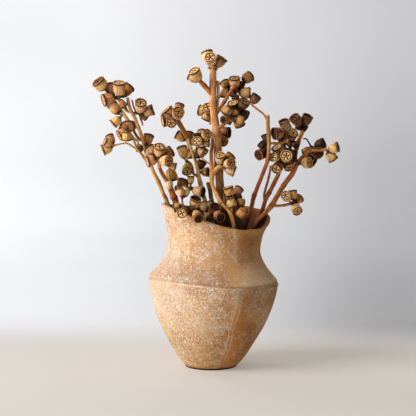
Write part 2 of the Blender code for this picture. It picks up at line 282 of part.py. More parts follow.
# ---------------------------------------------------------------- smooth paths
def curve(points, widths, step):
    """Catmull-Rom curve through the points, read every step metres, with its radius."""
    pts = [Vector(p) for p in points]
    p = [pts[0] * 2 - pts[1]] + pts + [pts[-1] * 2 - pts[-2]]
    w = [widths[0]] + list(widths) + [widths[-1]]
    out, rad = [], []
    for i in range(1, len(p) - 2):
        n = max(1, round((p[i + 1] - p[i]).length / step))
        for k in range(n):
            t = k / n
            out.append(0.5 * (2 * p[i] + (p[i + 1] - p[i - 1]) * t + (2 * p[i - 1] - 5 * p[i] + 4 * p[i + 1] - p[i + 2]) * t * t
                              + (3 * p[i] - p[i - 1] - 3 * p[i + 1] + p[i + 2]) * t ** 3))
            rad.append(w[i] + (w[i + 1] - w[i]) * t)
    out.append(pts[-1])
    rad.append(widths[-1])
    return out, rad


def stem_rows(name, rows):
    pts, rad = [], []
    for r in rows:
        if r[0] == "in":
            pts.append(Vector((r[1], r[2], r[3])) * 0.001)
            rad.append(r[4] * PX / 2)
        else:
            lean = LEAN.get(name, 0) * 0.001 * max(0.0, (LEAN_FROM - r[1]) / LEAN_RUN) ** 1.2
            pts.append(at(r[0], r[1], r[2] * 0.001 + lean))
            rad.append(r[3] * PX / 2)
    return pts, rad


def nearest_on(path, rad, point):
    """Nearest place to the point on a path: place, direction and radius there."""
    best = None
    for i in range(len(path) - 1):
        a, b = path[i], path[i + 1]
        ab = b - a
        t = min(1.0, max(0.0, (point - a).dot(ab) / ab.length_squared))
        q = a + ab * t
        d = (point - q).length
        if best is None or d < best[0]:
            best = (d, q, ab.normalized(), rad[i] + (rad[i + 1] - rad[i]) * t)
    return best[1], best[2], best[3]


def clip_end(path, rad, carrier):
    """Shortens a path whose end lies in a carrier stem, so that it stops just clear of the stem's bark."""
    cpath, crad = carrier
    n = len(path)
    for i in range(n - 1, 0, -1):
        q, axis, r = nearest_on(cpath, crad, path[i])
        side = path[i] - q
        run = (path[i] - path[i - 1]).normalized()
        c = abs(run.dot(axis))
        need = r + GAP + rad[i] * max(0.25, c) + 0.0001
        if side.length >= need:
            return path[:i + 1], rad[:i + 1]
        q0, axis0, r0 = nearest_on(cpath, crad, path[i - 1])
        d0 = (path[i - 1] - q0).length
        need0 = r0 + GAP + rad[i - 1] * max(0.25, c) + 0.0001
        if d0 > need0:
            lo, hi = 0.0, 1.0
            for _ in range(24):
                mid = (lo + hi) / 2
                m = path[i - 1].lerp(path[i], mid)
                qm, _a, rm = nearest_on(cpath, crad, m)
                rr = rad[i - 1] + (rad[i] - rad[i - 1]) * mid
                if (m - qm).length > rm + GAP + rr * max(0.25, c) + 0.0001:
                    lo = mid
                else:
                    hi = mid
            end = path[i - 1].lerp(path[i], lo)
            if lo * (path[i] - path[i - 1]).length < 0.0006:
                return path[:i], rad[:i]
            return path[:i] + [end], rad[:i] + [rad[i - 1] + (rad[i] - rad[i - 1]) * lo]
    return path, rad


# ---------------------------------------------------------------- nuts: where each lies
def nut_axis(row):
    _h, mu, mv, bu, bv, width, turn = row
    e = Vector((mu - bu, bv - mv))
    flat = e.length
    e = e / max(flat, 1e-6)
    s = math.sqrt(max(0.0, 1 - turn * turn))
    axis = (RIGHT * e.x + UP * e.y) * s + NEAR * turn
    length = min(max(flat / max(s, 0.35), 0.86 * width), 1.16 * width) * PX
    return axis, length, width * PX / 2


def place_nut(row, hub_y, shift):
    axis, length, radius = nut_axis(row)
    base_y = hub_y + shift
    mouth = at(row[1], row[2], base_y + axis.y * length)
    return mouth - axis * length, mouth, axis, length, radius


def segment_pairs(P0, P1, Q0, Q1):
    """Closest places of many pairs of segments."""
    d1, d2, r = P1 - P0, Q1 - Q0, P0 - Q0
    a = np.einsum("ij,ij->i", d1, d1) + 1e-15
    e = np.einsum("ij,ij->i", d2, d2) + 1e-15
    f = np.einsum("ij,ij->i", d2, r)
    c = np.einsum("ij,ij->i", d1, r)
    b = np.einsum("ij,ij->i", d1, d2)
    den = a * e - b * b
    s = np.where(den > 1e-18, np.clip((b * f - c * e) / np.where(den > 1e-18, den, 1), 0, 1), 0)
    t = (b * s + f) / e
    t2 = np.clip(t, 0, 1)
    s = np.clip(np.where(t == t2, s, (b * t2 - c) / a), 0, 1)
    return P0 + d1 * s[:, None], Q0 + d2 * t2[:, None]


def settle(stems):
    """The clusters lean forward or back, along the line of sight, until each clears the others and the stems."""
    names = list(CLUSTERS)
    depth = {n: CLUSTERS[n]["depth"] * 0.001 + join_depth(n, stems) for n in names}
    shift = {n: [0.0] * len(CLUSTERS[n]["nuts"]) for n in names}
    fixed = []
    for s, (path, rad) in stems.items():
        for i in range(len(path) - 1):
            fixed.append((s, path[i], path[i + 1], max(rad[i], rad[i + 1])))
    for drop in (0.0012, 0.006, 0.011, 0.016):
        ring = [rim_point(2 * math.pi * k / 24, RIM_R - LIP_T / 2 - 0.4 * drop, drop) for k in range(24)]
        for k in range(24):
            fixed.append(("vase", ring[k], ring[(k + 1) % 24], 0.0028))
    for step in range(90):
        items = [(s, -1, a, b, r) for s, a, b, r in fixed]
        for n in names:
            c = CLUSTERS[n]
            hubs, hub_ys, twigs = cluster_shape(n, depth[n], stems)
            for k, row in enumerate(c["nuts"]):
                base, mouth, axis, length, radius = place_nut(row, hub_ys[row[0]], shift[n][k])
                items.append((n, k, base + axis * length * 0.42, base + axis * length * 0.72, radius * 1.12))
                items.append((n, -3, hubs[row[0]], base, 0.0016))
            for t, tw in enumerate(twigs):
                for i in range(len(tw) - (2 if t == 0 else 1)):
                    items.append((n, -2, tw[i][0], tw[i + 1][0], max(tw[i][1], tw[i + 1][1])))
        m = len(items)
        A = np.array([i[2] for i in items])
        B = np.array([i[3] for i in items])
        R = np.array([i[4] for i in items])
        own = [i[0] for i in items]
        kind = np.array([i[1] for i in items])
        ids = {k: j for j, k in enumerate(dict.fromkeys(own))}
        own_id = np.array([ids[o] for o in own])
        mid, half = (A + B) / 2, np.linalg.norm(A - B, axis=1) / 2
        I, J = np.triu_indices(m, 1)
        near = np.linalg.norm(mid[I] - mid[J], axis=1) < half[I] + half[J] + R[I] + R[J] + 0.002
        free = np.array([o in CLUSTERS for o in own])
        near &= free[I] | free[J]
        same = own_id[I] == own_id[J]
        near &= ~same | ((kind[I] >= 0) & (kind[J] >= 0))
        I, J = I[near], J[near]
        P, Q = segment_pairs(A[I], B[I], A[J], B[J])
        gap = Q - P
        flat = np.hypot(gap[:, 0], gap[:, 2])
        same = own_id[I] == own_id[J]
        need = np.where(same, (R[I] + R[J]) * 0.80, R[I] + R[J] + 0.0008)
        want = np.sqrt(np.maximum(need ** 2 - flat ** 2, 0))
        lack = want - np.abs(gap[:, 1])
        move_c = {n: [0.0, 0.0] for n in names}
        move_n = {n: [[0.0, 0.0] for _ in shift[n]] for n in names}
        worst = 0.0
        for k in np.nonzero(lack > 1e-5)[0]:
            i, j = int(I[k]), int(J[k])
            a, b = own[i], own[j]
            if kind[i] in (-2, -3) and CLUSTERS.get(a, {}).get("joins") == b:
                continue
            if kind[j] in (-2, -3) and CLUSTERS.get(b, {}).get("joins") == a:
                continue
            sign = 1.0 if gap[k, 1] > 1e-6 else (-1.0 if gap[k, 1] < -1e-6 else (1.0 if i < j else -1.0))
            push = float(lack[k]) * 0.55
            if a != b:
                worst = max(worst, float(lack[k]))
            part = 0.5 if (free[i] and free[j]) else 1.0
            for idx, name, sg in ((i, a, -sign), (j, b, sign)):
                if name not in CLUSTERS:
                    continue
                amount = sg * push * part
                if a == b or (kind[idx] >= 0 and step < 60):
                    slot = move_n[name][kind[idx]]
                    amt = amount * (1.0 if a == b else 0.45)
                    slot[0], slot[1] = min(slot[0], amt), max(slot[1], amt)
                if a != b:
                    slot = move_c[name]
                    amt = amount * (0.55 if kind[idx] >= 0 and step < 60 else 1.0)
                    slot[0], slot[1] = min(slot[0], amt), max(slot[1], amt)
        for n in names:
            depth[n] += sum(move_c[n])
            for k, mv in enumerate(move_n[n]):
                shift[n][k] = max(-0.011, min(0.011, shift[n][k] + sum(mv)))
        if worst < 2e-5:
            break
    return depth, shift


def join_depth(name, stems):
    """Depth of the stem where a cluster's stalk meets it."""
    u, v = CLUSTERS[name]["twigs"][0][-1][:2]
    return min(((at(u, v, q.y) - q).length, q.y) for q in dense(stems[CLUSTERS[name]["joins"]][0]))[1]


def cluster_shape(name, depth, stems):
    """The hubs of a cluster, and its stalk and side twigs as lists of (place, radius)."""
    c = CLUSTERS[name]
    rows = c["twigs"][0]
    # the stalk runs from the hub to the stem's own depth
    end_y = join_depth(name, stems)
    run = [0.0]
    for a, b in zip(rows, rows[1:]):
        run.append(run[-1] + math.hypot(b[0] - a[0], b[1] - a[1]))
    ys = []
    for i, row in enumerate(rows):
        t = run[i] / run[-1]
        t = t * t * (3 - 2 * t)
        ys.append((depth + row[2] * 0.001) * (1 - t) + end_y * t)

    def own_depth(u, v, dy):
        """Depth of a place of the cluster; a place on the stalk takes the stalk's depth."""
        best = None
        for i in range(len(rows) - 1):
            (u0, v0), (u1, v1) = rows[i][:2], rows[i + 1][:2]
            du, dv = u1 - u0, v1 - v0
            t = min(1.0, max(0.0, ((u - u0) * du + (v - v0) * dv) / (du * du + dv * dv)))
            d = math.hypot(u0 + du * t - u, v0 + dv * t - v)
            if best is None or d < best[0]:
                best = (d, ys[i] + (ys[i + 1] - ys[i]) * t)
        return best[1] if best[0] < 1.8 else None

    out = [[(at(r[0], r[1], y), r[3] * PX / 2) for r, y in zip(rows, ys)]]
    hubs, hub_ys = [], []
    for h in c["hubs"]:
        y = own_depth(h[0], h[1], h[2])
        hub_ys.append(depth + h[2] * 0.001 if y is None else y)
    for side in c["twigs"][1:]:
        ends = []
        for r in (side[0], side[-1]):
            y = own_depth(r[0], r[1], r[2])
            if y is None:
                near = [(math.hypot(h[0] - r[0], h[1] - r[1]), hy) for h, hy in zip(c["hubs"], hub_ys)]
                if min(near)[0] < 2.5:
                    y = min(near)[1]
            ends.append(None if y is None else y - (depth + r[2] * 0.001))
        a, b = ends
        a = b if a is None else a
        b = a if b is None else b
        a, b = a or 0.0, b or 0.0
        n = len(side) - 1
        out.append([(at(r[0], r[1], depth + r[2] * 0.001 + a + (b - a) * i / n), r[3] * PX / 2) for i, r in enumerate(side)])
    for h, k in zip(c["hubs"], range(len(c["hubs"]))):
        y = hub_ys[k]
        if y == depth + h[2] * 0.001:
            for tw, side in zip(out[1:], c["twigs"][1:]):
                for p, r in zip(tw, side):
                    if math.hypot(h[0] - r[0], h[1] - r[1]) < 0.7:
                        y = p[0].y
        hub_ys[k] = y
        hubs.append(at(h[0], h[1], y))
    return hubs, hub_ys, out


def dense(path):
    out = []
    for a, b in zip(path, path[1:]):
        n = max(1, int((b - a).length / 0.002))
        out += [a.lerp(b, k / n) for k in range(n)]
    return out + [path[-1]]


# ---------------------------------------------------------------- meshes
def frame_of(d):
    d = d.normalized()
    ref = Vector((0, 0, 1)) if abs(d.z) < 0.9 else Vector((1, 0, 0))
    x = d.cross(ref).normalized()
    return x, d.cross(x).normalized()


def tube_mesh(name, path, rad, sides, twist=0.0):
    """A closed tube along a path."""
    bm = bmesh.new()
    rings = []
    x = None
    for i, p in enumerate(path):
        a = path[max(0, i - 1)]
        b = path[min(len(path) - 1, i + 1)]
        d = (b - a).normalized()
        if x is None:
            x, y = frame_of(d)
        x = (x - d * x.dot(d)).normalized()
        y = d.cross(x)
        rings.append([bm.verts.new(p + (x * math.cos(t) + y * math.sin(t)) * rad[i])
                      for t in (twist + 2 * math.pi * k / sides for k in range(sides))])
    for r0, r1 in zip(rings, rings[1:]):
        for k in range(sides):
            bm.faces.new((r0[k], r0[(k + 1) % sides], r1[(k + 1) % sides], r1[k]))
    bm.faces.new(list(reversed(rings[0])))
    bm.faces.new(rings[-1])
    return to_mesh(bm, name)


def nut_mesh(name, base, axis, length, radius, sides, twist):
    """A gum nut: a narrow foot, a bell-shaped body and a wide flat mouth."""
    profile = [(0.0, 0.26), (0.34, 0.86), (1.0, 1.06)]
    bm = bmesh.new()
    x, y = frame_of(axis)
    rings = []
    for t, r in profile:
        rings.append([bm.verts.new(base + axis * (length * t) + (x * math.cos(a) + y * math.sin(a)) * radius * r)
                      for a in (twist + 2 * math.pi * k / sides for k in range(sides))])
    for r0, r1 in zip(rings, rings[1:]):
        for k in range(sides):
            bm.faces.new((r0[k], r0[(k + 1) % sides], r1[(k + 1) % sides], r1[k]))
    bm.faces.new(list(reversed(rings[0])))
    bm.faces.new(rings[-1])
    return to_mesh(bm, name)


def ball_mesh(name, centre, radius):
    bm = bmesh.new()
    bmesh.ops.create_icosphere(bm, subdivisions=1, radius=radius)
    bmesh.ops.rotate(bm, verts=bm.verts, cent=(0, 0, 0), matrix=__rot(0.37))
    bmesh.ops.translate(bm, verts=bm.verts, vec=centre)
    return to_mesh(bm, name)


def __rot(angle):
    from mathutils import Matrix
    return Matrix.Rotation(angle, 3, Vector((0.3, 0.8, 0.5)).normalized())


def to_mesh(bm, name):
    bmesh.ops.recalc_face_normals(bm, faces=bm.faces)
    bmesh.ops.triangulate(bm, faces=bm.faces)
    me = bpy.data.meshes.new(name)
    bm.to_mesh(me)
    bm.free()
    return me


def union(name, meshes):
    """One closed body from several that run into each other."""
    if len(meshes) == 1:
        return meshes[0]
    tools = bpy.data.collections.new(name + "_parts")
    bpy.context.scene.collection.children.link(tools)
    first = bpy.data.objects.new(name + "_first", meshes[0])
    bpy.context.scene.collection.objects.link(first)
    rest = []
    for k, me in enumerate(meshes[1:]):
        ob = bpy.data.objects.new(f"{name}_{k}", me)
        tools.objects.link(ob)
        rest.append(ob)
    mod = first.modifiers.new("join", "BOOLEAN")
    mod.operation = "UNION"
    mod.solver = "EXACT"
    mod.operand_type = "COLLECTION"
    mod.collection = tools
    bpy.context.view_layer.update()
    dg = bpy.context.evaluated_depsgraph_get()
    out = bpy.data.meshes.new_from_object(first.evaluated_get(dg))
    out.name = name
    for ob in rest + [first]:
        bpy.data.objects.remove(ob, do_unlink=True)
    bpy.data.collections.remove(tools)
    return out


# ---------------------------------------------------------------- vase
def rim_height(a):
    return RIM_Z - 0.00995 * math.cos(a) + 0.0051 * math.sin(a) + 0.0056 * math.sin(2 * a) + 0.0024 * math.cos(2 * a)


def rim_point(a, r=RIM_R - LIP_T / 2, drop=0.0012):
    return Vector((RIM_X + r * math.cos(a), r * math.sin(a), rim_height(a) - drop))


def level(row):
    """Centre x, height, radius and sideways tilt of a level of the outline."""
    ul, vl, ur, vr = row
    a, b = at(ul, vl, 0.0), at(ur, vr, 0.0)
    c = (a + b) / 2
    return c.x, c.z, (b.x - a.x) / 2, (b.z - a.z) / (b.x - a.x)


def vase_mesh():
    n = VASE_SIDES
    angles = [2 * math.pi * (k + 0.5) / n for k in range(n)]
    levels = [level(r) for r in OUTLINE]
    neck = levels[-1]
    bm = bmesh.new()

    def ring(fn):
        return [bm.verts.new(fn(a)) for a in angles]

    def on_level(lv, inset, lift=0.0):
        cx, cz, r, tilt = lv
        r -= inset
        return lambda a: Vector((cx + r * math.cos(a), r * math.sin(a), cz + lift + tilt * r * math.cos(a)))

    rings = [ring(lambda a: Vector((FOOT_R * 0.94 * math.cos(a), FOOT_R * 0.94 * math.sin(a), 0.0))),
             ring(lambda a: Vector((FOOT_R * math.cos(a), FOOT_R * math.sin(a), 0.0012)))]
    for lv in levels[1:]:
        rings.append(ring(on_level(lv, 0.0)))

    def flare(t, inset):
        """Between the neck (t=0) and the lip (t=1)."""
        cx, cz, r, tilt = neck

        def f(a):
            low = Vector((cx + r * math.cos(a), r * math.sin(a), cz + tilt * r * math.cos(a)))
            top = Vector((RIM_X + RIM_R * math.cos(a), RIM_R * math.sin(a), rim_height(a)))
            k = t ** 1.5
            p = Vector((low.x + (top.x - low.x) * k, low.y + (top.y - low.y) * k, low.z + (top.z - low.z) * t))
            d = Vector((math.cos(a), math.sin(a), 0))
            return p - d * inset
        return f
    rings.append(ring(flare(0.40, 0.0)))
    rings.append(ring(flare(0.75, 0.0)))
    rings.append(ring(lambda a: flare(0.955, 0.0)(a)))
    rings.append(ring(lambda a: flare(1.0, 0.0009)(a)))
    rings.append(ring(lambda a: flare(1.0, LIP_T - 0.0006)(a)))
    rings.append(ring(lambda a: flare(0.95, LIP_T + 0.0003)(a)))
    rings.append(ring(flare(0.70, WALL_T - 0.0006)))
    rings.append(ring(flare(0.35, WALL_T)))
    for i in (13, 11, 10, 8, 6, 4):
        rings.append(ring(on_level(levels[i], WALL_T + (0.0006 if i == 8 else 0.0))))
    cx, cz, r, tilt = levels[2]
    rings.append(ring(lambda a: Vector((cx + (r - WALL_T - 0.001) * math.cos(a), (r - WALL_T - 0.001) * math.sin(a), cz - 0.0015))))
    cx1, cz1, r1, _t = levels[1]
    rings.append(ring(lambda a: Vector((cx1 * 0.7 + (r1 - WALL_T - 0.0040) * math.cos(a), (r1 - WALL_T - 0.0040) * math.sin(a), FLOOR_T))))
    for r0, r1_ in zip(rings, rings[1:]):
        for k in range(n):
            bm.faces.new((r0[k], r0[(k + 1) % n], r1_[(k + 1) % n], r1_[k]))
    bm.faces.new(list(reversed(rings[0])))
    bm.faces.new(rings[-1])
    return to_mesh(bm, "vase")


# ---------------------------------------------------------------- materials and objects
def material(name, colour, rough):
    m = bpy.data.materials.new(name)
    m.use_nodes = True
    b = m.node_tree.nodes["Principled BSDF"]
    b.inputs["Base Color"].default_value = (*colour, 1.0)
    b.inputs["Roughness"].default_value = rough
    b.inputs["Metallic"].default_value = 0.0
    m.diffuse_color = (*colour, 1.0)
    return m


def add(name, mesh, colour, rough):
    mesh.materials.clear()
    mesh.materials.append(material(name + "_finish", colour, rough))
    ob = bpy.data.objects.new(name, mesh)
    bpy.context.scene.collection.objects.link(ob)
    mesh.shade_smooth()
    mesh.set_sharp_from_angle(angle=math.radians(40))
    return ob


STEM_COLOURS = {
    "stem_main": (0.46, 0.25, 0.15), "stem_left": (0.50, 0.27, 0.10), "stem_left_thick": (0.34, 0.18, 0.12),
    "stem_green": (0.55, 0.40, 0.17), "stem_olive": (0.33, 0.25, 0.09), "stem_front": (0.55, 0.30, 0.12),
    "stem_low": (0.25, 0.15, 0.08), "stem_right_front": (0.30, 0.11, 0.05), "stem_right_back": (0.36, 0.18, 0.07),
    "stem_right_red": (0.36, 0.13, 0.05), "branch_right_top": (0.33, 0.15, 0.05), "branch_pale": (0.50, 0.36, 0.14),
    "twig_bridge": (0.20, 0.07, 0.02), "twig_right": (0.28, 0.14, 0.06),
}
DARK = {"nuts_right_crown", "nuts_right_dark", "nuts_right_arch", "nuts_right_outer_left", "nuts_mouth_centre", "nuts_right_inner"}
PALE = {"nuts_crown", "nuts_front", "nuts_right_tan", "nuts_far_right", "nuts_left_front", "nuts_low_right"}


def main():
    add("vase", vase_mesh(), (0.52, 0.30, 0.16), 0.85)

    stems = {}
    for name, rows in STEMS.items():
        pts, rad = stem_rows(name, rows)
        stems[name] = curve(pts, rad, 0.018)
    for name, (carrier, rows) in BRANCHES.items():
        pts, rad = stem_rows(name, rows)
        path, r = curve(pts, rad, 0.012)
        stems[name] = clip_end(path, r, stems[carrier])
    for k, (name, (path, rad)) in enumerate(stems.items()):
        sides = 5 if max(rad) < 0.0025 else STEM_SIDES
        add(name, tube_mesh(name, path, rad, sides, 0.3 * k), STEM_COLOURS[name], 0.75)

    depth, shift = settle(stems)
    for c_no, (name, c) in enumerate(CLUSTERS.items()):
        meshes = []
        hubs, hub_ys, twigs = cluster_shape(name, depth[name], stems)
        for k, h in enumerate(c["hubs"]):
            meshes.append(ball_mesh(f"{name}_hub{k}", hubs[k], h[3] * PX * 1.02))
        for k, tw in enumerate(twigs):
            path, rad = curve([p for p, _ in tw], [r for _, r in tw], 0.012)
            if k == 0:
                path, rad = clip_end(path, rad, stems[c["joins"]])
            if len(path) >= 2:
                meshes.append(tube_mesh(f"{name}_twig{k}", path, rad, 5, 0.2 + k))
        for k, row in enumerate(c["nuts"]):
            base, mouth, axis, length, radius = place_nut(row, hub_ys[row[0]], shift[name][k])
            meshes.append(nut_mesh(f"{name}_nut{k}", base, axis, length, radius, NUT_SIDES, 0.4 * k + 0.1 * c_no))
            hub = hubs[row[0]]
            if (base - hub).length > 0.0004:
                tip = base + axis * (length * 0.22)
                meshes.append(tube_mesh(f"{name}_stalk{k}", [hub, tip], [0.0015, 0.0014], 4, 0.7 * k))
        colour = (0.20, 0.11, 0.06) if name in DARK else ((0.55, 0.37, 0.18) if name in PALE else (0.40, 0.27, 0.14))
        add(name, union(name, meshes), colour, 0.7)


main()
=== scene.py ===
import math
import random

import bpy
import numpy as np
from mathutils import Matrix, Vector


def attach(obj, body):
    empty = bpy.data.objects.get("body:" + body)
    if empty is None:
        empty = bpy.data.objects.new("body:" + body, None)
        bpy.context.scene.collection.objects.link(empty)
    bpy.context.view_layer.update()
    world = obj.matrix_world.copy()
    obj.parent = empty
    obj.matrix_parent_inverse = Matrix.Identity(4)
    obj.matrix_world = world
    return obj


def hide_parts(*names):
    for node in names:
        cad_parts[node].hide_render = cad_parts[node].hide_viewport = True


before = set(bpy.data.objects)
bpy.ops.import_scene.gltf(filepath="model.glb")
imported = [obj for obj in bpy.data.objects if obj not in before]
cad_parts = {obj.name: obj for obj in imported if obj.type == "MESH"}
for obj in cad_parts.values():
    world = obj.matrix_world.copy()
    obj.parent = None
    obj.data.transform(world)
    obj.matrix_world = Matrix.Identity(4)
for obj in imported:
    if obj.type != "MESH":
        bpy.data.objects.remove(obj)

# A stoneware vase with a loose bunch of dried gum nut branches.  Metres, +Z up, the origin at the centre of the vase's
# foot, +X to the right and -Y towards the viewer.  The layout is the solid model's own; every piece here is a finer
# form of one of its nodes.

# ---------------------------------------------------------------- driving dimensions
# The bunch is laid out as it is seen from a standing viewer's eye: a place is given by its direction (u, v) on a
# viewing plane and by its depth y behind the vase's axis.
EYE_DIST = 2.10            # eye to vase axis, level distance
EYE_HEIGHT = 0.42          # eye above the table
EYE_X = -0.0040
EYE_PITCH = math.radians(5.755)
PLANE_F = 1617.8           # distance of the viewing plane, in its own units
PLANE_C = 208.0

FOOT_R = 0.0343            # radius of the vase's flat foot
FLOOR_T = 0.0085           # thickness of the vase's floor
WALL_T = 0.0052            # wall thickness of the vase's body
LIP_T = 0.0040             # wall thickness at the lip
RIM_R = 0.0716             # outer radius of the mouth
RIM_X = 0.0066
RIM_Z = 0.2022             # mean height of the mouth, which dips to the right and to the front
GAP = 0.00035              # clearance between touching pieces

# Outline of the vase: left and right edge of each level as seen, from the foot up to the neck
OUTLINE = [
    (185.2, 365.2, 236.9, 365.4),
    (180.6, 359.0, 242.0, 359.2),
    (176.4, 352.7, 246.9, 352.7),
    (167.7, 338.4, 256.2, 338.4),
    (160.6, 324.0, 264.4, 324.6),
    (155.3, 310.6, 270.4, 311.4),
    (151.6, 296.6, 275.0, 298.4),
    (149.4, 285.2, 277.4, 288.6),
    (149.0, 279.2, 278.1, 283.6),
    (150.6, 274.0, 276.6, 279.2),
    (158.2, 266.0, 270.1, 271.2),
    (164.6, 257.2, 264.2, 262.4),
    (167.4, 249.6, 261.2, 255.0),
    (168.2, 242.8, 260.4, 248.2),
    (167.2, 234.2, 262.0, 239.6),
]


def at(u, v, y):
    """The place seen in direction (u, v) at depth y behind the vase's axis."""
    up = Vector((0.0, math.sin(EYE_PITCH), math.cos(EYE_PITCH)))
    fwd = Vector((0.0, math.cos(EYE_PITCH), -math.sin(EYE_PITCH)))
    d = Vector((u - PLANE_C, 0.0, 0.0)) + up * (PLANE_C - v) + fwd * PLANE_F
    return Vector((EYE_X, -EYE_DIST, EYE_HEIGHT)) + d * ((y + EYE_DIST) / d.y)


RIGHT = Vector((1.0, 0.0, 0.0))
UP = Vector((0.0, math.sin(EYE_PITCH), math.cos(EYE_PITCH)))
NEAR = Vector((0.0, -math.cos(EYE_PITCH), math.sin(EYE_PITCH)))
PX = EYE_DIST / (PLANE_F * math.cos(EYE_PITCH))   # metres for one unit of the viewing plane at the vase's axis


# ---------------------------------------------------------------- stems: (u, v, depth mm, width) and, inside the vase,
# ("in", x, y, z, width) in millimetres
STEMS = {
    "stem_main": [(213, 68.4, 6, 7.2), (212.9, 80, 6, 7.2), (212.9, 92, 5, 7.0), (213.1, 103, 4, 6.6), (214, 114, 4, 7.2),
                  (215.6, 125, 3, 7.6), (217.0, 136, 2, 7.8), (217.7, 148, 2, 7.9), (218.3, 160, 2, 8.0),
                  (219.1, 172, 2, 8.0), (219.8, 184, 2, 8), (221, 196, 2, 8), (223, 209, 2, 8), (225, 224, 2, 8),
                  ("in", 20, 2, 155, 8), ("in", 14, 3, 85, 8), ("in", 5, 4, 14, 8)],
    "stem_left": [(127.7, 98.2, -6, 3.0), (129, 105, -6, 3.2), (131.5, 112, -6, 3.2), (134.8, 118, -6, 3.4),
                  (137, 124, -6, 3.4), (140.5, 133, -6, 3.6), (143, 141, -6, 3.6), (145.5, 150, -6, 3.8),
                  (148.3, 159, -5, 3.8), (151.5, 167.5, -4, 4), (154.5, 174, -3, 4), (157.5, 180, -1, 4.2),
                  (160.5, 187, 0, 4.4), (163.6, 195, 2, 4.4), (167.2, 203, 4, 4.5),
                  ("in", -42, 8, 155, 4.4), ("in", -27, 11, 80, 4.4), ("in", -13, 12, 13, 4.4)],
    "stem_left_thick": [(159, 162.6, -14, 3.4), (160, 169, -14, 3.6), (163.5, 176, -14, 3.8), (167.5, 182, -14, 4.4),
                        (170, 187, -14, 5.6), (171.5, 191, -14, 6), (173.5, 197, -15, 6), (176, 203, -16, 5.8),
                        ("in", -28, -16, 155, 5.4), ("in", -21, -12, 80, 5.4), ("in", -16, -8, 13, 5.4)],
    "stem_green": [(184.5, 130.5, -2, 3.4), (186, 135, -2, 3.4), (188.5, 141, -2, 3.4), (190.5, 147, -2, 3.4),
                   (193, 153, -2, 3.5), (195, 160, -3, 3.7), (197, 168, -4, 4.0), (199, 178, -5, 4.4),
                   (200.5, 184, -6, 4.5), (203, 195, -8, 4.5), (205.5, 206, -11, 4.5),
                   ("in", -3, -14, 155, 4.4), ("in", -4, -14, 80, 4.4), ("in", -4, -14, 13, 4.4)],
    "stem_olive": [(207.8, 182.5, -6, 3.8), (210, 190, -8, 4), (211, 197, -10, 4), (212.5, 204, -14, 4),
                   (214.5, 222, -22, 4), ("in", 8, -27, 155, 4), ("in", 9, -25, 80, 4), ("in", 9, -20, 13, 4)],
    "stem_front": [(212.4, 138, 9, 3.2), (212, 146, 7, 3.4), (211.3, 152, 3, 3.6), (211.4, 160, -2, 3.8), (211.6, 168, -8, 3.8),
                   (211.2, 174, -12, 4), (211.5, 180, -16, 4), (213, 187, -20, 4), (216.5, 194, -26, 3.9),
                   (220, 201, -32, 3.9), (224.5, 206.5, -38, 3.9), (228, 210, -42, 4), (230.8, 214, -45, 4.2),
                   (232.3, 219, -47, 4.2), (233.3, 224, -48, 4.3), (234.2, 229, -48, 4.3),
                   ("in", 35, -37, 155, 4.2), ("in", 31, -32, 80, 4.2), ("in", 20, -17, 13, 4.2)],
    "stem_low": [(190.5, 213.5, -47, 3.2), (194, 222, -43, 3.2), ("in", -17, -36, 155, 3.2), ("in", -15, -33, 80, 3.2),
                 ("in", -10, -23, 13, 3.2)],
    "stem_right_front": [(267.8, 115.3, 2, 4), (267.9, 125, 2, 3.9), (268.5, 133, 2, 4.4), (269, 143, 1, 3.8),
                         (268.8, 150, 0, 3.8), (268.3, 156, -1, 3.8), (266.9, 163, -2, 3.9), (263.8, 171, -4, 3.9),
                         (260.3, 180, -6, 3.9), (256.3, 190, -9, 3.9), (253.4, 198.4, -12, 4.2), (252.3, 204, -14, 4.2),
                         (250, 213, -17, 4.2), (247, 220.6, -19, 4.3), (244.5, 228.5, -20, 4.3),
                         ("in", 39, -20, 155, 4.3), ("in", 27, -14, 80, 4.3), ("in", 17, -3, 13, 4.3)],
    "stem_right_back": [(279.4, 171.6, 8, 3.8), (277.8, 175.6, 8, 4.2), (276, 179, 9, 4.4), (274.3, 182.6, 10, 4.6), (271.8, 187.6, 12, 4.2),
                        (269.3, 192.4, 14, 4.2), (267, 196.8, 16, 4.2), (265, 201, 18, 4.2), (263.6, 206, 19, 4.2),
                        (262, 210.5, 20, 4.2), (259.4, 217, 21, 4.2), ("in", 47, 18, 163, 4.2), ("in", 34, 18, 80, 4.2),
                        ("in", 17, 14, 13, 4.2)],
    "stem_right_red": [(311.2, 148.2, 0, 3.8), (309.5, 149.7, 0, 4.4), (306, 153.5, 0, 4.5), (303, 157.5, 0, 4.5),
                       (299.5, 161, 0, 4.5), (297, 164.4, 0, 4.6), (295, 168.4, 0, 4.8), (292.4, 173.8, 1, 5),
                       (289.3, 178, 2, 4.9), (285.3, 183, 3, 4.8), (281.6, 188.5, 4, 4.7), (278.8, 193.4, 5, 4.7),
                       (276, 198.2, 6, 4.7), (273.3, 203, 7, 5.2), (270, 207.6, 9, 4.9), (266.3, 211.8, 10, 4.9),
                       (262.4, 216.4, 8, 4.9), (257.6, 222.2, 7, 4.9), (253.6, 228, 6, 4.9),
                       ("in", 32, 8, 152, 4.9), ("in", 5, 17, 80, 4.9), ("in", -2, 21, 14, 4.9)],
}
# how far each stem leans back (+) or towards the viewer (-) on its way up, mm at a full height above the mouth
LEAN = {"stem_left": -50, "stem_left_thick": -44, "stem_green": 30, "stem_right_front": -38, "twig_bridge": -38,
        "stem_right_back": 48, "twig_right": 48, "stem_right_red": 54, "branch_right_top": 54}
LEAN_FROM, LEAN_RUN = 208.0, 110.0
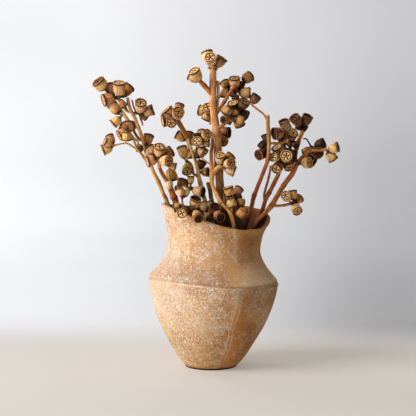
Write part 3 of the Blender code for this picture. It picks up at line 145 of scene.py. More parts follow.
# branches that leave another stem: the last place is on that stem
BRANCHES = {
    "branch_right_top": ("stem_right_red", [(302.7, 131.2, 8, 4.6), (301.2, 135, 8, 4.4), (299.4, 139, 8, 4.2),
                                            (298.2, 143, 8, 4.4), (297, 147.5, 7, 4.6), (295.6, 151.8, 7, 4.4),
                                            (295.4, 156, 6, 3.8), (296, 160.4, 4, 3.2), (296.7, 164.4, 0, 3)]),
    "branch_pale": ("stem_main", [(218, 81.6, 9, 3.4), (218.2, 88, 8, 2.8), (218.3, 95, 6, 2.8), (217.8, 103, 5, 2.6),
                                  (217.2, 108.6, 4, 2.6), (215.6, 114.0, 4, 2.4)]),
    "twig_bridge": ("stem_right_front", [(250.8, 103.8, 2, 2.0), (253.4, 106.2, 2, 2.0), (257.8, 109.6, 2, 2.0),
                                         (261.8, 112.6, 2, 2.0), (264.6, 115.6, 2, 2.0), (266, 118.4, 2, 2),
                                         (267.8, 121.5, 2, 2)]),
    "twig_right": ("stem_right_back", [(270.6, 165.8, 3, 2.2), (269.9, 172, 5, 2.3), (268.5, 178, 7, 2.4), (267, 184, 9, 2.5),
                                       (265.2, 190, 12, 2.6), (264.3, 195, 15, 2.8), (264.6, 201.5, 18, 2.8)]),
}

# ---------------------------------------------------------------- the nut clusters.  Each is one grown piece: a stalk, its
# side twigs and its nuts.  depth: starting depth in mm, from the stem's; joins: the stem it grows from.
# twigs: (u, v, depth offset mm, width); the last place of the first twig is on the stem.
# hubs: (u, v, depth offset mm, radius).  nuts: (hub number, mouth u, v, base u, v, width, turn to the viewer -1..1)
CLUSTERS = {
    "nuts_left_top": dict(depth=-8, joins="stem_left", hubs=[(117.3, 98, 0, 2.2)],
        twigs=[[(117.3, 98, 0, 2.6), (121, 103, 0, 2.2), (124.2, 108.6, 0, 2.2), (127.4, 111.4, 0, 2.2), (131.5, 112.4, 0, 2.2)],
               [(121, 99.6, 1, 1.8), (124, 104.2, 2, 2.5), (126.2, 108.4, 2, 2.2), (127.3, 111.2, 1, 1.7)]],
        nuts=[(0, 97.4, 80.6, 104.4, 89, 13.8, 0.42), (0, 109.5, 84.5, 113, 96, 12, -0.3), (0, 119.3, 82, 118.5, 95.5, 12.4, 0.4),
              (0, 129.5, 86.5, 121, 97, 13, -0.35), (0, 102.8, 100.7, 115, 97, 13, 0.3), (0, 125.8, 93.4, 120.2, 93.2, 7.6, -0.3), (0, 124.6, 106.6, 119.8, 99.6, 7.6, -0.3)]),
    "nuts_left_small": dict(depth=14, joins="stem_left", hubs=[(122, 114.6, 0, 1.6)],
        twigs=[[(115, 102, 0, 2.6), (121, 110.5, 0, 3.6), (126.4, 118, 0, 3.6), (132, 128, 0, 3.0), (135.6, 134.4, 0, 2.8),
                (138.6, 138.6, 0, 2.8), (143.2, 141.4, 0, 2.8)]],
        nuts=[(0, 111.8, 104.2, 119.4, 114.4, 11, -0.25), (0, 112.4, 124.4, 120.4, 117.4, 10.6, 0.05)]),
    "nuts_left_low": dict(depth=-20, joins="stem_left", hubs=[(128, 131, 0, 2.0), (112.8, 145.6, 0, 2.1), (137.4, 147.6, 2, 1.8), (126.4, 133.6, -11, 1.8)],
        twigs=[[(128, 131, 0, 2.4), (132, 137, 0, 2.4), (134.6, 143, 0, 2.4), (136.8, 148, 0, 2.4), (141, 153.6, 0, 2.6),
                (144.5, 158.4, 0, 2.8), (150.8, 165.6, 0, 2.8)],
               [(112.3, 145.6, 0, 1.9), (116, 145, 0, 1.7), (120, 144, 0, 1.7), (124, 143.2, 0, 1.7), (128, 143.7, 0, 1.7),
                (132, 146.2, 0, 1.8), (136.6, 149, 0, 2.0)],
               [(129, 131, 2, 1.9), (134, 138, 2, 1.8), (138, 142, 3, 1.8), (137.4, 147.6, 2, 1.8)],
               [(128, 131, 0, 2.4), (127.2, 132.3, -5.5, 2.2), (126.4, 133.6, -11, 2.2)]],
        nuts=[(0, 127.2, 121.8, 128.5, 131, 12, -0.2), (0, 119, 127, 127, 130, 11, 0.05), (0, 118.5, 136, 126, 132, 11, 0.25),
              (3, 127.4, 140.2, 126.8, 134, 10.2, -0.3), (1, 109, 135.5, 113, 145, 9, -0.35), (1, 104.3, 141, 112, 144, 8.5, 0.35),
              (1, 102.3, 150.3, 112, 146.5, 11.5, 0.1), (2, 141.5, 146.8, 137.2, 151, 8, -0.4),
              (2, 149.2, 135, 146.4, 145.8, 10.6, -0.3), (0, 134.2, 122.8, 130.8, 131.2, 8.5, -0.3)]),
    "nuts_left_mid": dict(depth=8, joins="stem_left", hubs=[(139.6, 113.6, 0, 1.9)],
        twigs=[[(139.6, 113.6, 0, 2.4), (136, 113.4, 0, 2.4), (131.9, 112.7, 0, 2.4)],
               [(139.6, 113.6, 0, 2.0), (140.2, 117.5, 0, 1.9), (142, 122, 0, 1.8), (142.8, 125.6, 0, 1.5)],
               [(131.9, 99.6, 3, 1.5), (133.6, 106.6, 2, 1.6), (136.2, 113.2, 0, 1.8)]],
        nuts=[(0, 140.8, 101.7, 139.2, 112.6, 11.8, 0.7), (0, 153.4, 109.5, 142.4, 113, 12, 0.05), (0, 147, 116.4, 141, 113.2, 9.8, -0.45)]),
    "nuts_left_front": dict(depth=-24, joins="stem_left_thick", hubs=[(158, 157.6, 0, 2.8)],
        twigs=[[(158, 157.6, 0, 4.2), (158.7, 161.6, 0, 3.8), (159.6, 167.0, 0, 3.4)]],
        nuts=[(0, 159.8, 145.8, 158.5, 156.3, 12.2, 0.55), (0, 148.5, 147.5, 156, 156.5, 11, -0.35),
              (0, 171.6, 150.8, 162, 157, 11.6, -0.3), (0, 146.6, 161.8, 157, 159, 12, 0.25), (0, 169.8, 161, 160, 160, 11.5, 0.6),
              (0, 176.2, 166.8, 169.4, 165, 7.6, 0.05)]),
    "nuts_left_inner": dict(depth=-4, joins="stem_green", hubs=[(170, 168.2, 0, 1.6), (190.4, 188.2, 0, 2.6), (181.4, 187.6, -4, 2.0)],
        twigs=[[(190.4, 188.2, 0, 3.2), (195.5, 188.6, 0, 3.0), (201.6, 188.4, 0, 2.8)],
               [(168, 166.4, 0, 1.9), (170.8, 167.8, -1, 2.2), (174.6, 171.4, -6, 2.0), (177, 177, -8, 2.0), (178.6, 181.6, -6, 2.0),
                (180.8, 187.4, -1, 2.4), (185.6, 189.4, 0, 2.4), (190.4, 188.2, 0, 2.8)]],
        nuts=[(0, 172.2, 180.8, 169.4, 168.8, 12.4, -0.2), (2, 176.4, 188.4, 180, 187.6, 6.4, -0.6),
              (1, 190.8, 175.8, 190.5, 187, 7.4, 0.05), (2, 184.2, 180, 181.6, 187.2, 11.6, -0.3),
              (1, 203.5, 192, 192.5, 190.4, 11, 0.4)]),
    "nuts_upper_left": dict(depth=-8, joins="stem_green", hubs=[(175.8, 118.4, 0, 2.8)],
        twigs=[[(175.8, 118.4, 0, 4.2), (177.6, 120.6, 0, 4.4), (180.4, 125.4, 0, 4.8), (183.4, 130.6, 0, 5.2), (187.4, 138.6, 0, 4.4)]],
        nuts=[(0, 166, 109.3, 173, 117.4, 13.5, 0.2), (0, 162, 121, 172, 119, 13.5, 0.2), (0, 170.6, 123.4, 174.6, 120, 10.5, 0.84),
              (0, 179, 111, 175.8, 117.6, 12, 0.8), (0, 180, 104.4, 177.6, 114, 10, -0.35)]),
    "nuts_left_back": dict(depth=12, joins="stem_green", hubs=[(187.8, 141.4, 0, 1.8)],
        twigs=[[(187.8, 141.4, 0, 2.6), (188.4, 142.6, 0, 2.6), (189.5, 144.5, 0, 2.6)]],
        nuts=[(0, 176.3, 134, 186, 140, 10, -0.1), (0, 189.8, 132.2, 188.2, 140.6, 8.4, -0.35), (0, 190, 158.5, 188.8, 147, 7, 0.1)]),
    "nuts_centre_left": dict(depth=-10, joins="stem_green", hubs=[(186.4, 160.8, 0, 1.9)],
        twigs=[[(186.4, 160.8, 0, 2.4), (190.4, 163.2, 0, 2.4), (192.6, 168.4, 0, 2.5), (193.4, 173.4, 0, 2.5), (198.9, 177.5, 0, 2.5)]],
        nuts=[(0, 181.5, 146.8, 184.8, 159.5, 11, -0.25), (0, 187.2, 172.3, 187, 162, 10.5, 0.7)]),
    "nuts_centre_small": dict(depth=4, joins="stem_green", hubs=[(199, 171.8, 0, 1.8)],
        twigs=[[(199, 171.8, 0, 2.6), (198.6, 172.2, 0, 2.6), (197.7, 172.6, 0, 2.6)]],
        nuts=[(0, 202.4, 161.6, 198.4, 169.4, 9.8, -0.3), (0, 208.6, 172, 200.4, 172.2, 9.8, 0.28)]),
    "nuts_centre_top": dict(depth=-14, joins="stem_green", hubs=[(198.4, 141.8, 0, 2.2), (198.0, 148.6, 0, 1.8)],
        twigs=[[(198.4, 141.8, 0, 2.4), (196.9, 146.2, 0, 2.2), (196.2, 149.2, 0, 2.2), (191.8, 150.4, 0, 2.2)],
               [(196.6, 147.2, 0, 2.0), (198.0, 148.6, 0, 2.4)],
               [(199.4, 149.6, 3, 2.0), (202, 157.6, 4, 1.4), (205.6, 161.0, 4, 1.3), (209.6, 164.0, 3, 1.3)]],
        nuts=[(0, 196.8, 140.8, 198, 143, 10.4, 0.9), (0, 191.4, 141, 196.8, 142.4, 8.4, -0.4), (0, 196.6, 133.6, 198, 139.8, 7.6, 0.3),
              (0, 202.6, 131, 201.6, 139.2, 10.4, -0.45), (0, 208.4, 132.8, 203.6, 138.4, 10, 0.72), (0, 209.5, 142.8, 200.4, 142.3, 9.8, -0.1),
              (1, 204.8, 154, 199, 148, 10.6, 0.3), (1, 197.4, 156.4, 198.2, 150.4, 8.4, -0.6)]),
    "nuts_crown": dict(depth=0, joins="stem_main", hubs=[(213, 64.6, 0, 2.7)],
        twigs=[[(213, 62.6, 0, 4.6), (213, 67.6, 0, 6.6)]],
        nuts=[(0, 210.3, 56.6, 211.8, 64.6, 11.8, 0.88), (0, 206.9, 51.6, 210.4, 64.2, 12.5, -0.25), (0, 222.6, 57.4, 216.2, 66.8, 12.6, 0.18)]),
    "nuts_top_left": dict(depth=-4, joins="stem_main", hubs=[(200.6, 81.8, 0, 2.0)],
        twigs=[[(200.6, 81.8, 0, 4.6), (204.4, 85.8, 0, 4.8), (208, 89.8, 0, 5.0), (213.0, 96.0, 0, 5.0)]],
        nuts=[(0, 193.8, 70, 199.6, 80.4, 12, 0.5), (0, 189.6, 75.2, 199.4, 81.4, 10, -0.3)]),
    "nuts_right_top": dict(depth=2, joins="stem_main", hubs=[(236.4, 90.4, 0, 2.4), (229.6, 89.4, 4, 1.6)],
        twigs=[[(236.4, 90.4, 0, 2.6), (235.2, 86.6, -11, 2.4), (232, 89.6, -14, 2.4), (229, 94, -16, 2.4), (225.6, 99.8, -15, 3.2),
                (222.2, 104.8, -12, 3.4), (219.4, 109.8, -8, 3.0), (214.3, 117.0, 0, 2.4)],
               [(236.4, 90.4, 0, 2.0), (229.6, 89.4, 4, 2.0)]],
        nuts=[(0, 234.6, 77.4, 234.9, 88, 11.8, 0.42), (0, 250.4, 76.0, 242.8, 81.2, 11.8, -0.45), (0, 241.8, 83, 238.8, 90, 8, -0.35),
              (0, 249.8, 92.6, 238.4, 92.6, 11, -0.2), (0, 257.2, 95.6, 251.6, 103.2, 11, 0.28), (1, 224.4, 82, 227.8, 88.6, 10.8, -0.45),
              (1, 223.6, 98, 226, 87.4, 11, -0.1), (0, 231.8, 96.2, 235.2, 91.6, 8, -0.4)]),
    "nuts_right_inner": dict(depth=-6, joins="stem_main", hubs=[(232.2, 118.4, -3, 4.0), (238.6, 108.4, 6, 3.6)],
        twigs=[[(232.3, 118.5, 0, 4.2), (228.4, 119.4, 0, 3.8), (225.4, 122.2, 0, 3.8), (222, 125.8, 0, 4.0), (216.1, 129.0, 0, 4.2)],
               [(232.3, 118.5, 0, 3.0), (236, 113, 3, 2.8), (238.6, 108.4, 6, 2.6)]],
        nuts=[(1, 245.6, 100.8, 241.2, 108.6, 12, 0.48), (1, 232.4, 102.4, 233.8, 109.4, 11.4, 0.52), (0, 224.8, 113.4, 229.6, 107.6, 11.6, -0.4),
              (0, 236.2, 110.4, 232.8, 117, 8.6, -0.3), (1, 247, 116.2, 240, 112.4, 11.4, 0.32), (0, 240.4, 125.8, 237.4, 119.2, 11.6, -0.4),
              (0, 243, 121.6, 236, 118.6, 9.6, -0.3), (0, 223.4, 120, 228.4, 118.4, 8.6, 0.85), (0, 227.8, 122.6, 230.6, 118.6, 7.4, -0.5),
              (1, 235, 96, 237.4, 104.6, 8.4, 0.32)]),
    "nuts_right_stem": dict(depth=10, joins="stem_main", hubs=[(219.4, 135.4, 0, 2.4)],
        twigs=[[(219.4, 135.4, 0, 3.4), (218.6, 135.2, 0, 3.4), (217.1, 135, 0, 3.4)]],
        nuts=[(0, 229.6, 132.8, 220.6, 132.2, 11.8, 0.35), (0, 223.8, 142, 219.8, 138, 10.6, 0.85)]),
    "nuts_left_stem": dict(depth=8, joins="stem_main", hubs=[(209.4, 113, 0, 2.4)],
        twigs=[[(209.4, 113, 0, 3.2), (211, 113.4, 0, 3.2), (213.9, 114, 0, 3.2)],
               [(209.4, 113, 0, 2.2), (209.6, 119, 0, 2.2), (210.2, 124.6, 0, 2.0)]],
        nuts=[(0, 199, 110, 207, 112, 11.4, -0.3), (0, 207.3, 106.4, 209, 111.6, 9.8, 0.88), (0, 205.4, 120.2, 208.4, 114, 10, -0.2)]),
    "nuts_front": dict(depth=-8, joins="stem_front", hubs=[(220.8, 166, 0, 2.8)],
        twigs=[[(220.8, 166, 0, 4.4), (218, 167.6, 0, 4.4), (215.2, 170.6, 0, 4.4), (213, 174.2, 0, 4.4), (211.9, 181, 0, 4.2)]],
        nuts=[(0, 220, 154.3, 220.6, 164, 10.4, 0.66), (0, 231.6, 155, 224.4, 163, 10.8, -0.25), (0, 231.8, 162.5, 224, 164.6, 10.2, 0.82),
              (0, 234.8, 171.7, 224.6, 168, 11.2, -0.1)]),
    "nuts_mouth_right": dict(depth=6, joins="stem_front", hubs=[(232.2, 199, 0, 2.8), (229.9, 200.8, -8, 1.8)],
        twigs=[[(232.2, 199, 2, 3.6), (233.6, 204, 8, 3.2), (233, 208.8, 7, 3.2), (230.6, 213.6, 0, 3.6)],
               [(232.2, 199, 0, 2.6), (231, 200, -4, 2.2), (229.9, 200.8, -8, 2.2)]],
        nuts=[(0, 227.8, 186.8, 230.8, 196.5, 10.5, 0.15), (0, 239.8, 188, 233.6, 197, 9.8, -0.35), (0, 223.8, 198.6, 230.5, 198, 10, 0.05),
              (1, 232.7, 207, 231, 200.6, 10.6, -0.12), (0, 243.2, 204, 235.6, 201.8, 9.8, -0.35), (0, 240.4, 197, 234.6, 199, 7, -0.5),
              (0, 244.8, 215.4, 236.8, 208.8, 11.4, -0.1)]),
    "nuts_right_outer_left": dict(depth=10, joins="stem_right_front", hubs=[(267.4, 148, 0, 3.0)],
        twigs=[[(267.6, 148, 0, 2.8), (268.0, 148, 0, 2.8), (268.9, 148, 0, 2.8)]],
        nuts=[(0, 263.6, 135, 266.4, 142, 6.4, -0.2), (0, 260.8, 142.8, 266, 148.6, 9.8, -0.25), (0, 258.4, 155.2, 266.2, 152, 11.3, 0.7),
              (0, 263.8, 156.4, 266.4, 149.6, 8, -0.4)]),
    "nuts_right_arch": dict(depth=14, joins="stem_right_front", hubs=[(283.8, 133, 0, 2.8), (281.4, 129.8, -8, 2.0)],
        twigs=[[(283.8, 133, 0, 2.8), (286.0, 138.6, 0, 3.2), (282.8, 142.2, 0, 3.4), (277.6, 143.2, 0, 2.6), (269.1, 143.4, 0, 2.6)],
                [(283.8, 133, 0, 2.4), (282.6, 131.4, -4, 2.2), (281.4, 129.8, -8, 2.2)]],
        nuts=[(0, 273.6, 133.7, 281.6, 132.2, 13.2, 0.42), (0, 283.4, 120.6, 286.4, 130, 11, 0.45), (1, 288.4, 127.2, 281.4, 129.2, 9.4, 0.78),
              (0, 279.8, 139.6, 282.6, 134.8, 8.4, -0.5), (0, 287.6, 137.6, 285, 134, 7.6, -0.4)]),
    "nuts_right_crown": dict(depth=4, joins="branch_right_top", hubs=[(302, 127.4, 0, 2.6)],
         twigs=[[(302, 127.4, 0, 4.0), (302.3, 129.0, 0, 4.4), (302.6, 130.2, 0, 4.4)]],
         nuts=[(0, 293.6, 116.9, 300.6, 125, 11.8, 0.5), (0, 308.3, 115.8, 303.8, 125, 11.6, 0.42), (0, 297, 125.6, 301, 127.6, 8, 0.3),
              (0, 306.2, 129.2, 303, 127, 8, -0.2), (0, 302.4, 120.6, 302.2, 127.4, 8.6, -0.5)]),
    "nuts_right_back": dict(depth=-4, joins="branch_right_top", hubs=[(292.6, 141, 0, 2.2)],
        twigs=[[(292.6, 141, 0, 2.8), (294.4, 142.0, 0, 2.8), (298.3, 142.6, 0, 2.8)]],
        nuts=[(0, 293.6, 132.4, 289.6, 138.6, 11.4, 0.74), (0, 287.8, 145.6, 291.8, 141.4, 9, -0.25), (0, 296.6, 146, 294.2, 142, 7.2, 0.7)]),
    "nuts_right_discs": dict(depth=-8, joins="stem_right_red", hubs=[(284.4, 159.4, 6, 4.2)],
        twigs=[[(284.4, 159.4, 6, 3.6), (289.4, 162.4, 6, 3.2), (293.2, 165.4, 5, 3.2), (295.6, 167.2, 0, 3.2)]],
        nuts=[(0, 276.6, 146.6, 281.4, 154.6, 12.4, 0.45), (0, 272.8, 157, 279.6, 157.8, 9.8, 0.86), (0, 286.3, 155.5, 286.4, 158.6, 12.2, 0.94),
              (0, 275.9, 169.6, 280.6, 163.8, 11, 0.74), (0, 289.6, 168, 286.2, 161.6, 10.6, 0.6), (0, 293, 160.6, 287.4, 160.2, 9, -0.4),
              (0, 281, 143.4, 283.6, 152, 9, -0.7), (0, 292.4, 152.6, 288, 157.4, 9.4, -0.6), (0, 279.6, 162.6, 283.4, 160.4, 8, -0.6), (0, 289, 148.6, 287.4, 156, 9.4, 0.2)]),
    "nuts_far_right": dict(depth=-4, joins="stem_right_red", hubs=[(326.6, 150, 0, 1.7)],
        twigs=[[(326.6, 150, 0, 2.9), (323, 149.9, 0, 2.7), (318, 150.3, 0, 2.7), (313.4, 150.3, 0, 2.7), (309.2, 150.1, 0, 2.8)]],
        nuts=[(0, 338.4, 146.6, 328.6, 149.3, 11, 0.28), (0, 333.6, 160, 327.6, 151.4, 10.8, -0.25)]),
    "nuts_right_dark": dict(depth=10, joins="stem_right_red", hubs=[(311.4, 147.8, 0, 2.6), (309.4, 154.8, 2, 1.8)],
        twigs=[[(311, 149, 0, 2.6), (310.4, 149.2, 0, 2.6), (309.6, 149.6, 0, 2.6)],
               [(311, 149, 0, 2.4), (309.4, 154.8, 2, 2.2)],
               [(311, 149, 0, 1.8), (310.4, 145.6, 1, 1.6), (308.4, 141.8, 2, 1.6), (306.2, 138.9, 3, 1.6), (303.2, 138.8, 4, 1.6)]],
        nuts=[(0, 324.2, 142.7, 314.6, 146.8, 11.4, 0.36), (0, 318.8, 153, 313.4, 150.6, 12.4, 0.88), (0, 304.8, 153.8, 309.6, 150.6, 11, -0.5),
              (1, 313.8, 162.8, 308.4, 158.6, 13.6, 0.36)]),
    "nuts_right_tan": dict(depth=-8, joins="stem_right_red", hubs=[(302.2, 163.6, 0, 1.5)],
        twigs=[[(302.2, 163.6, 0, 2.4), (300.4, 163.9, 0, 2.4), (297.2, 164.2, 0, 2.4)]],
        nuts=[(0, 310.4, 162.3, 302.4, 163.5, 11.6, 0.48)]),
    "nuts_low_right": dict(depth=0, joins="stem_right_red", hubs=[(292.4, 203.4, 0, 2.2)],
        twigs=[[(292.4, 203.4, 0, 3.0), (288, 204.3, 0, 2.9), (284, 205.3, 0, 2.7), (278, 205.8, 0, 2.7), (271.6, 205.4, 0, 3.0)]],
        nuts=[(0, 285.3, 194.9, 290.4, 201.6, 10.2, 0.85), (0, 292.1, 190.4, 293.4, 200.6, 10.2, -0.1), (0, 300, 198, 294.4, 202.2, 9.8, -0.6),
              (0, 298, 211.8, 294.2, 204.8, 10.8, 0.7)]),
    "nuts_mouth_front": dict(depth=-8, joins="stem_low", hubs=[(189.6, 208.6, 0, 2.4), (183, 206.0, -8, 1.8), (192.4, 208.4, -12, 1.8), (182.2, 198, -10, 1.6)],
        twigs=[[(189.6, 208.6, 0, 3.2), (190.0, 210.6, 0, 3.2), (190.6, 213.0, 0, 3.2)],
               [(189.6, 208.6, 0, 2.4), (183, 206.0, -8, 2.2)],
               [(189.6, 208.6, 0, 2.4), (192.4, 208.4, -12, 2.2)],
                [(183, 206, -8, 2.0), (182.3, 202, -9, 1.8), (182.2, 198, -10, 1.8)]],
        nuts=[(1, 174, 208, 182, 206.2, 10, -0.15), (0, 181.6, 213.8, 187, 208.6, 10.5, 0.86), (2, 199, 218.8, 193.8, 210.4, 10.8, 0.76),
              (0, 196, 198, 193.4, 207.6, 11, 0.53), (3, 179.6, 188.8, 181.8, 196.8, 7.6, -0.3), (3, 186.2, 188, 183, 197, 9.8, -0.35)]),
    "nuts_mouth_centre": dict(depth=-18, joins="stem_olive", hubs=[(211.6, 211.4, 0, 2.6)],
        twigs=[[(211.6, 211.4, 0, 3.2), (212.4, 213.4, 0, 3.0), (214.0, 217.6, 0, 3.0)]],
        nuts=[(0, 203.6, 205.4, 209, 210, 11, -0.85), (0, 210, 201.6, 211, 208, 7.4, -0.4), (0, 215.4, 207, 213.4, 210.8, 11.4, 0.82),
              (0, 211, 219, 210.4, 212.4, 10.2, 0.5), (0, 220.8, 217.8, 215.6, 213.4, 10.4, 0.78)]),
}


# ---------------------------------------------------------------- smooth paths
def curve(points, widths, step):
    """Catmull-Rom curve through the points, read every step metres, with its radius."""
    pts = [Vector(p) for p in points]
    p = [pts[0] * 2 - pts[1]] + pts + [pts[-1] * 2 - pts[-2]]
    w = [widths[0]] + list(widths) + [widths[-1]]
    out, rad = [], []
    for i in range(1, len(p) - 2):
        n = max(1, round((p[i + 1] - p[i]).length / step))
        for k in range(n):
            t = k / n
            out.append(0.5 * (2 * p[i] + (p[i + 1] - p[i - 1]) * t + (2 * p[i - 1] - 5 * p[i] + 4 * p[i + 1] - p[i + 2]) * t * t
                              + (3 * p[i] - p[i - 1] - 3 * p[i + 1] + p[i + 2]) * t ** 3))
            rad.append(w[i] + (w[i + 1] - w[i]) * t)
    out.append(pts[-1])
    rad.append(widths[-1])
    return out, rad


def stem_rows(name, rows):
    pts, rad = [], []
    for r in rows:
        if r[0] == "in":
            pts.append(Vector((r[1], r[2], r[3])) * 0.001)
            rad.append(r[4] * PX / 2)
        else:
            lean = LEAN.get(name, 0) * 0.001 * max(0.0, (LEAN_FROM - r[1]) / LEAN_RUN) ** 1.2
            pts.append(at(r[0], r[1], r[2] * 0.001 + lean))
            rad.append(r[3] * PX / 2)
    return pts, rad


def nearest_on(path, rad, point):
    """Nearest place to the point on a path: place, direction and radius there."""
    best = None
    for i in range(len(path) - 1):
        a, b = path[i], path[i + 1]
        ab = b - a
        t = min(1.0, max(0.0, (point - a).dot(ab) / ab.length_squared))
        q = a + ab * t
        d = (point - q).length
        if best is None or d < best[0]:
            best = (d, q, ab.normalized(), rad[i] + (rad[i + 1] - rad[i]) * t)
    return best[1], best[2], best[3]


def clip_end(path, rad, carrier):
    """Shortens a path whose end lies in a carrier stem, so that it stops just clear of the stem's bark."""
    cpath, crad = carrier
    n = len(path)
    for i in range(n - 1, 0, -1):
        q, axis, r = nearest_on(cpath, crad, path[i])
        side = path[i] - q
        run = (path[i] - path[i - 1]).normalized()
        c = abs(run.dot(axis))
        need = r + GAP + rad[i] * max(0.25, c) + 0.0001
        if side.length >= need:
            return path[:i + 1], rad[:i + 1]
        q0, axis0, r0 = nearest_on(cpath, crad, path[i - 1])
        d0 = (path[i - 1] - q0).length
        need0 = r0 + GAP + rad[i - 1] * max(0.25, c) + 0.0001
        if d0 > need0:
            lo, hi = 0.0, 1.0
            for _ in range(24):
                mid = (lo + hi) / 2
                m = path[i - 1].lerp(path[i], mid)
                qm, _a, rm = nearest_on(cpath, crad, m)
                rr = rad[i - 1] + (rad[i] - rad[i - 1]) * mid
                if (m - qm).length > rm + GAP + rr * max(0.25, c) + 0.0001:
                    lo = mid
                else:
                    hi = mid
            end = path[i - 1].lerp(path[i], lo)
            if lo * (path[i] - path[i - 1]).length < 0.0006:
                return path[:i], rad[:i]
            return path[:i] + [end], rad[:i] + [rad[i - 1] + (rad[i] - rad[i - 1]) * lo]
    return path, rad


# ---------------------------------------------------------------- nuts: where each lies
def nut_axis(row):
    _h, mu, mv, bu, bv, width, turn = row
    e = Vector((mu - bu, bv - mv))
    flat = e.length
    e = e / max(flat, 1e-6)
    s = math.sqrt(max(0.0, 1 - turn * turn))
    axis = (RIGHT * e.x + UP * e.y) * s + NEAR * turn
    length = min(max(flat / max(s, 0.35), 0.86 * width), 1.16 * width) * PX
    return axis, length, width * PX / 2


def place_nut(row, hub_y, shift):
    axis, length, radius = nut_axis(row)
    base_y = hub_y + shift
    mouth = at(row[1], row[2], base_y + axis.y * length)
    return mouth - axis * length, mouth, axis, length, radius


def segment_pairs(P0, P1, Q0, Q1):
    """Closest places of many pairs of segments."""
    d1, d2, r = P1 - P0, Q1 - Q0, P0 - Q0
    a = np.einsum("ij,ij->i", d1, d1) + 1e-15
    e = np.einsum("ij,ij->i", d2, d2) + 1e-15
    f = np.einsum("ij,ij->i", d2, r)
    c = np.einsum("ij,ij->i", d1, r)
    b = np.einsum("ij,ij->i", d1, d2)
    den = a * e - b * b
    s = np.where(den > 1e-18, np.clip((b * f - c * e) / np.where(den > 1e-18, den, 1), 0, 1), 0)
    t = (b * s + f) / e
    t2 = np.clip(t, 0, 1)
    s = np.clip(np.where(t == t2, s, (b * t2 - c) / a), 0, 1)
    return P0 + d1 * s[:, None], Q0 + d2 * t2[:, None]


def settle(stems):
    """The clusters lean forward or back, along the line of sight, until each clears the others and the stems."""
    names = list(CLUSTERS)
    depth = {n: CLUSTERS[n]["depth"] * 0.001 + join_depth(n, stems) for n in names}
    shift = {n: [0.0] * len(CLUSTERS[n]["nuts"]) for n in names}
    fixed = []
    for s, (path, rad) in stems.items():
        for i in range(len(path) - 1):
            fixed.append((s, path[i], path[i + 1], max(rad[i], rad[i + 1])))
    for drop in (0.0012, 0.006, 0.011, 0.016):
        ring = [rim_point(2 * math.pi * k / 24, RIM_R - LIP_T / 2 - 0.4 * drop, drop) for k in range(24)]
        for k in range(24):
            fixed.append(("vase", ring[k], ring[(k + 1) % 24], 0.0028))
    for step in range(90):
        items = [(s, -1, a, b, r) for s, a, b, r in fixed]
        for n in names:
            c = CLUSTERS[n]
            hubs, hub_ys, twigs = cluster_shape(n, depth[n], stems)
            for k, row in enumerate(c["nuts"]):
                base, mouth, axis, length, radius = place_nut(row, hub_ys[row[0]], shift[n][k])
                items.append((n, k, base + axis * length * 0.42, base + axis * length * 0.72, radius * 1.12))
                items.append((n, -3, hubs[row[0]], base, 0.0016))
            for t, tw in enumerate(twigs):
                for i in range(len(tw) - (2 if t == 0 else 1)):
                    items.append((n, -2, tw[i][0], tw[i + 1][0], max(tw[i][1], tw[i + 1][1])))
        m = len(items)
        A = np.array([i[2] for i in items])
        B = np.array([i[3] for i in items])
        R = np.array([i[4] for i in items])
        own = [i[0] for i in items]
        kind = np.array([i[1] for i in items])
        ids = {k: j for j, k in enumerate(dict.fromkeys(own))}
        own_id = np.array([ids[o] for o in own])
        mid, half = (A + B) / 2, np.linalg.norm(A - B, axis=1) / 2
        I, J = np.triu_indices(m, 1)
        near = np.linalg.norm(mid[I] - mid[J], axis=1) < half[I] + half[J] + R[I] + R[J] + 0.002
        free = np.array([o in CLUSTERS for o in own])
        near &= free[I] | free[J]
        same = own_id[I] == own_id[J]
        near &= ~same | ((kind[I] >= 0) & (kind[J] >= 0))
        I, J = I[near], J[near]
        P, Q = segment_pairs(A[I], B[I], A[J], B[J])
        gap = Q - P
        flat = np.hypot(gap[:, 0], gap[:, 2])
        same = own_id[I] == own_id[J]
        need = np.where(same, (R[I] + R[J]) * 0.80, R[I] + R[J] + 0.0008)
        want = np.sqrt(np.maximum(need ** 2 - flat ** 2, 0))
        lack = want - np.abs(gap[:, 1])
        move_c = {n: [0.0, 0.0] for n in names}
        move_n = {n: [[0.0, 0.0] for _ in shift[n]] for n in names}
        worst = 0.0
        for k in np.nonzero(lack > 1e-5)[0]:
            i, j = int(I[k]), int(J[k])
            a, b = own[i], own[j]
            if kind[i] in (-2, -3) and CLUSTERS.get(a, {}).get("joins") == b:
                continue
            if kind[j] in (-2, -3) and CLUSTERS.get(b, {}).get("joins") == a:
                continue
            sign = 1.0 if gap[k, 1] > 1e-6 else (-1.0 if gap[k, 1] < -1e-6 else (1.0 if i < j else -1.0))
            push = float(lack[k]) * 0.55
            if a != b:
                worst = max(worst, float(lack[k]))
            part = 0.5 if (free[i] and free[j]) else 1.0
            for idx, name, sg in ((i, a, -sign), (j, b, sign)):
                if name not in CLUSTERS:
                    continue
                amount = sg * push * part
                if a == b or (kind[idx] >= 0 and step < 60):
                    slot = move_n[name][kind[idx]]
                    amt = amount * (1.0 if a == b else 0.45)
                    slot[0], slot[1] = min(slot[0], amt), max(slot[1], amt)
                if a != b:
                    slot = move_c[name]
                    amt = amount * (0.55 if kind[idx] >= 0 and step < 60 else 1.0)
                    slot[0], slot[1] = min(slot[0], amt), max(slot[1], amt)
        for n in names:
            depth[n] += sum(move_c[n])
            for k, mv in enumerate(move_n[n]):
                shift[n][k] = max(-0.011, min(0.011, shift[n][k] + sum(mv)))
        if worst < 2e-5:
            break
    return depth, shift


def join_depth(name, stems):
    """Depth of the stem where a cluster's stalk meets it."""
    u, v = CLUSTERS[name]["twigs"][0][-1][:2]
    return min(((at(u, v, q.y) - q).length, q.y) for q in dense(stems[CLUSTERS[name]["joins"]][0]))[1]


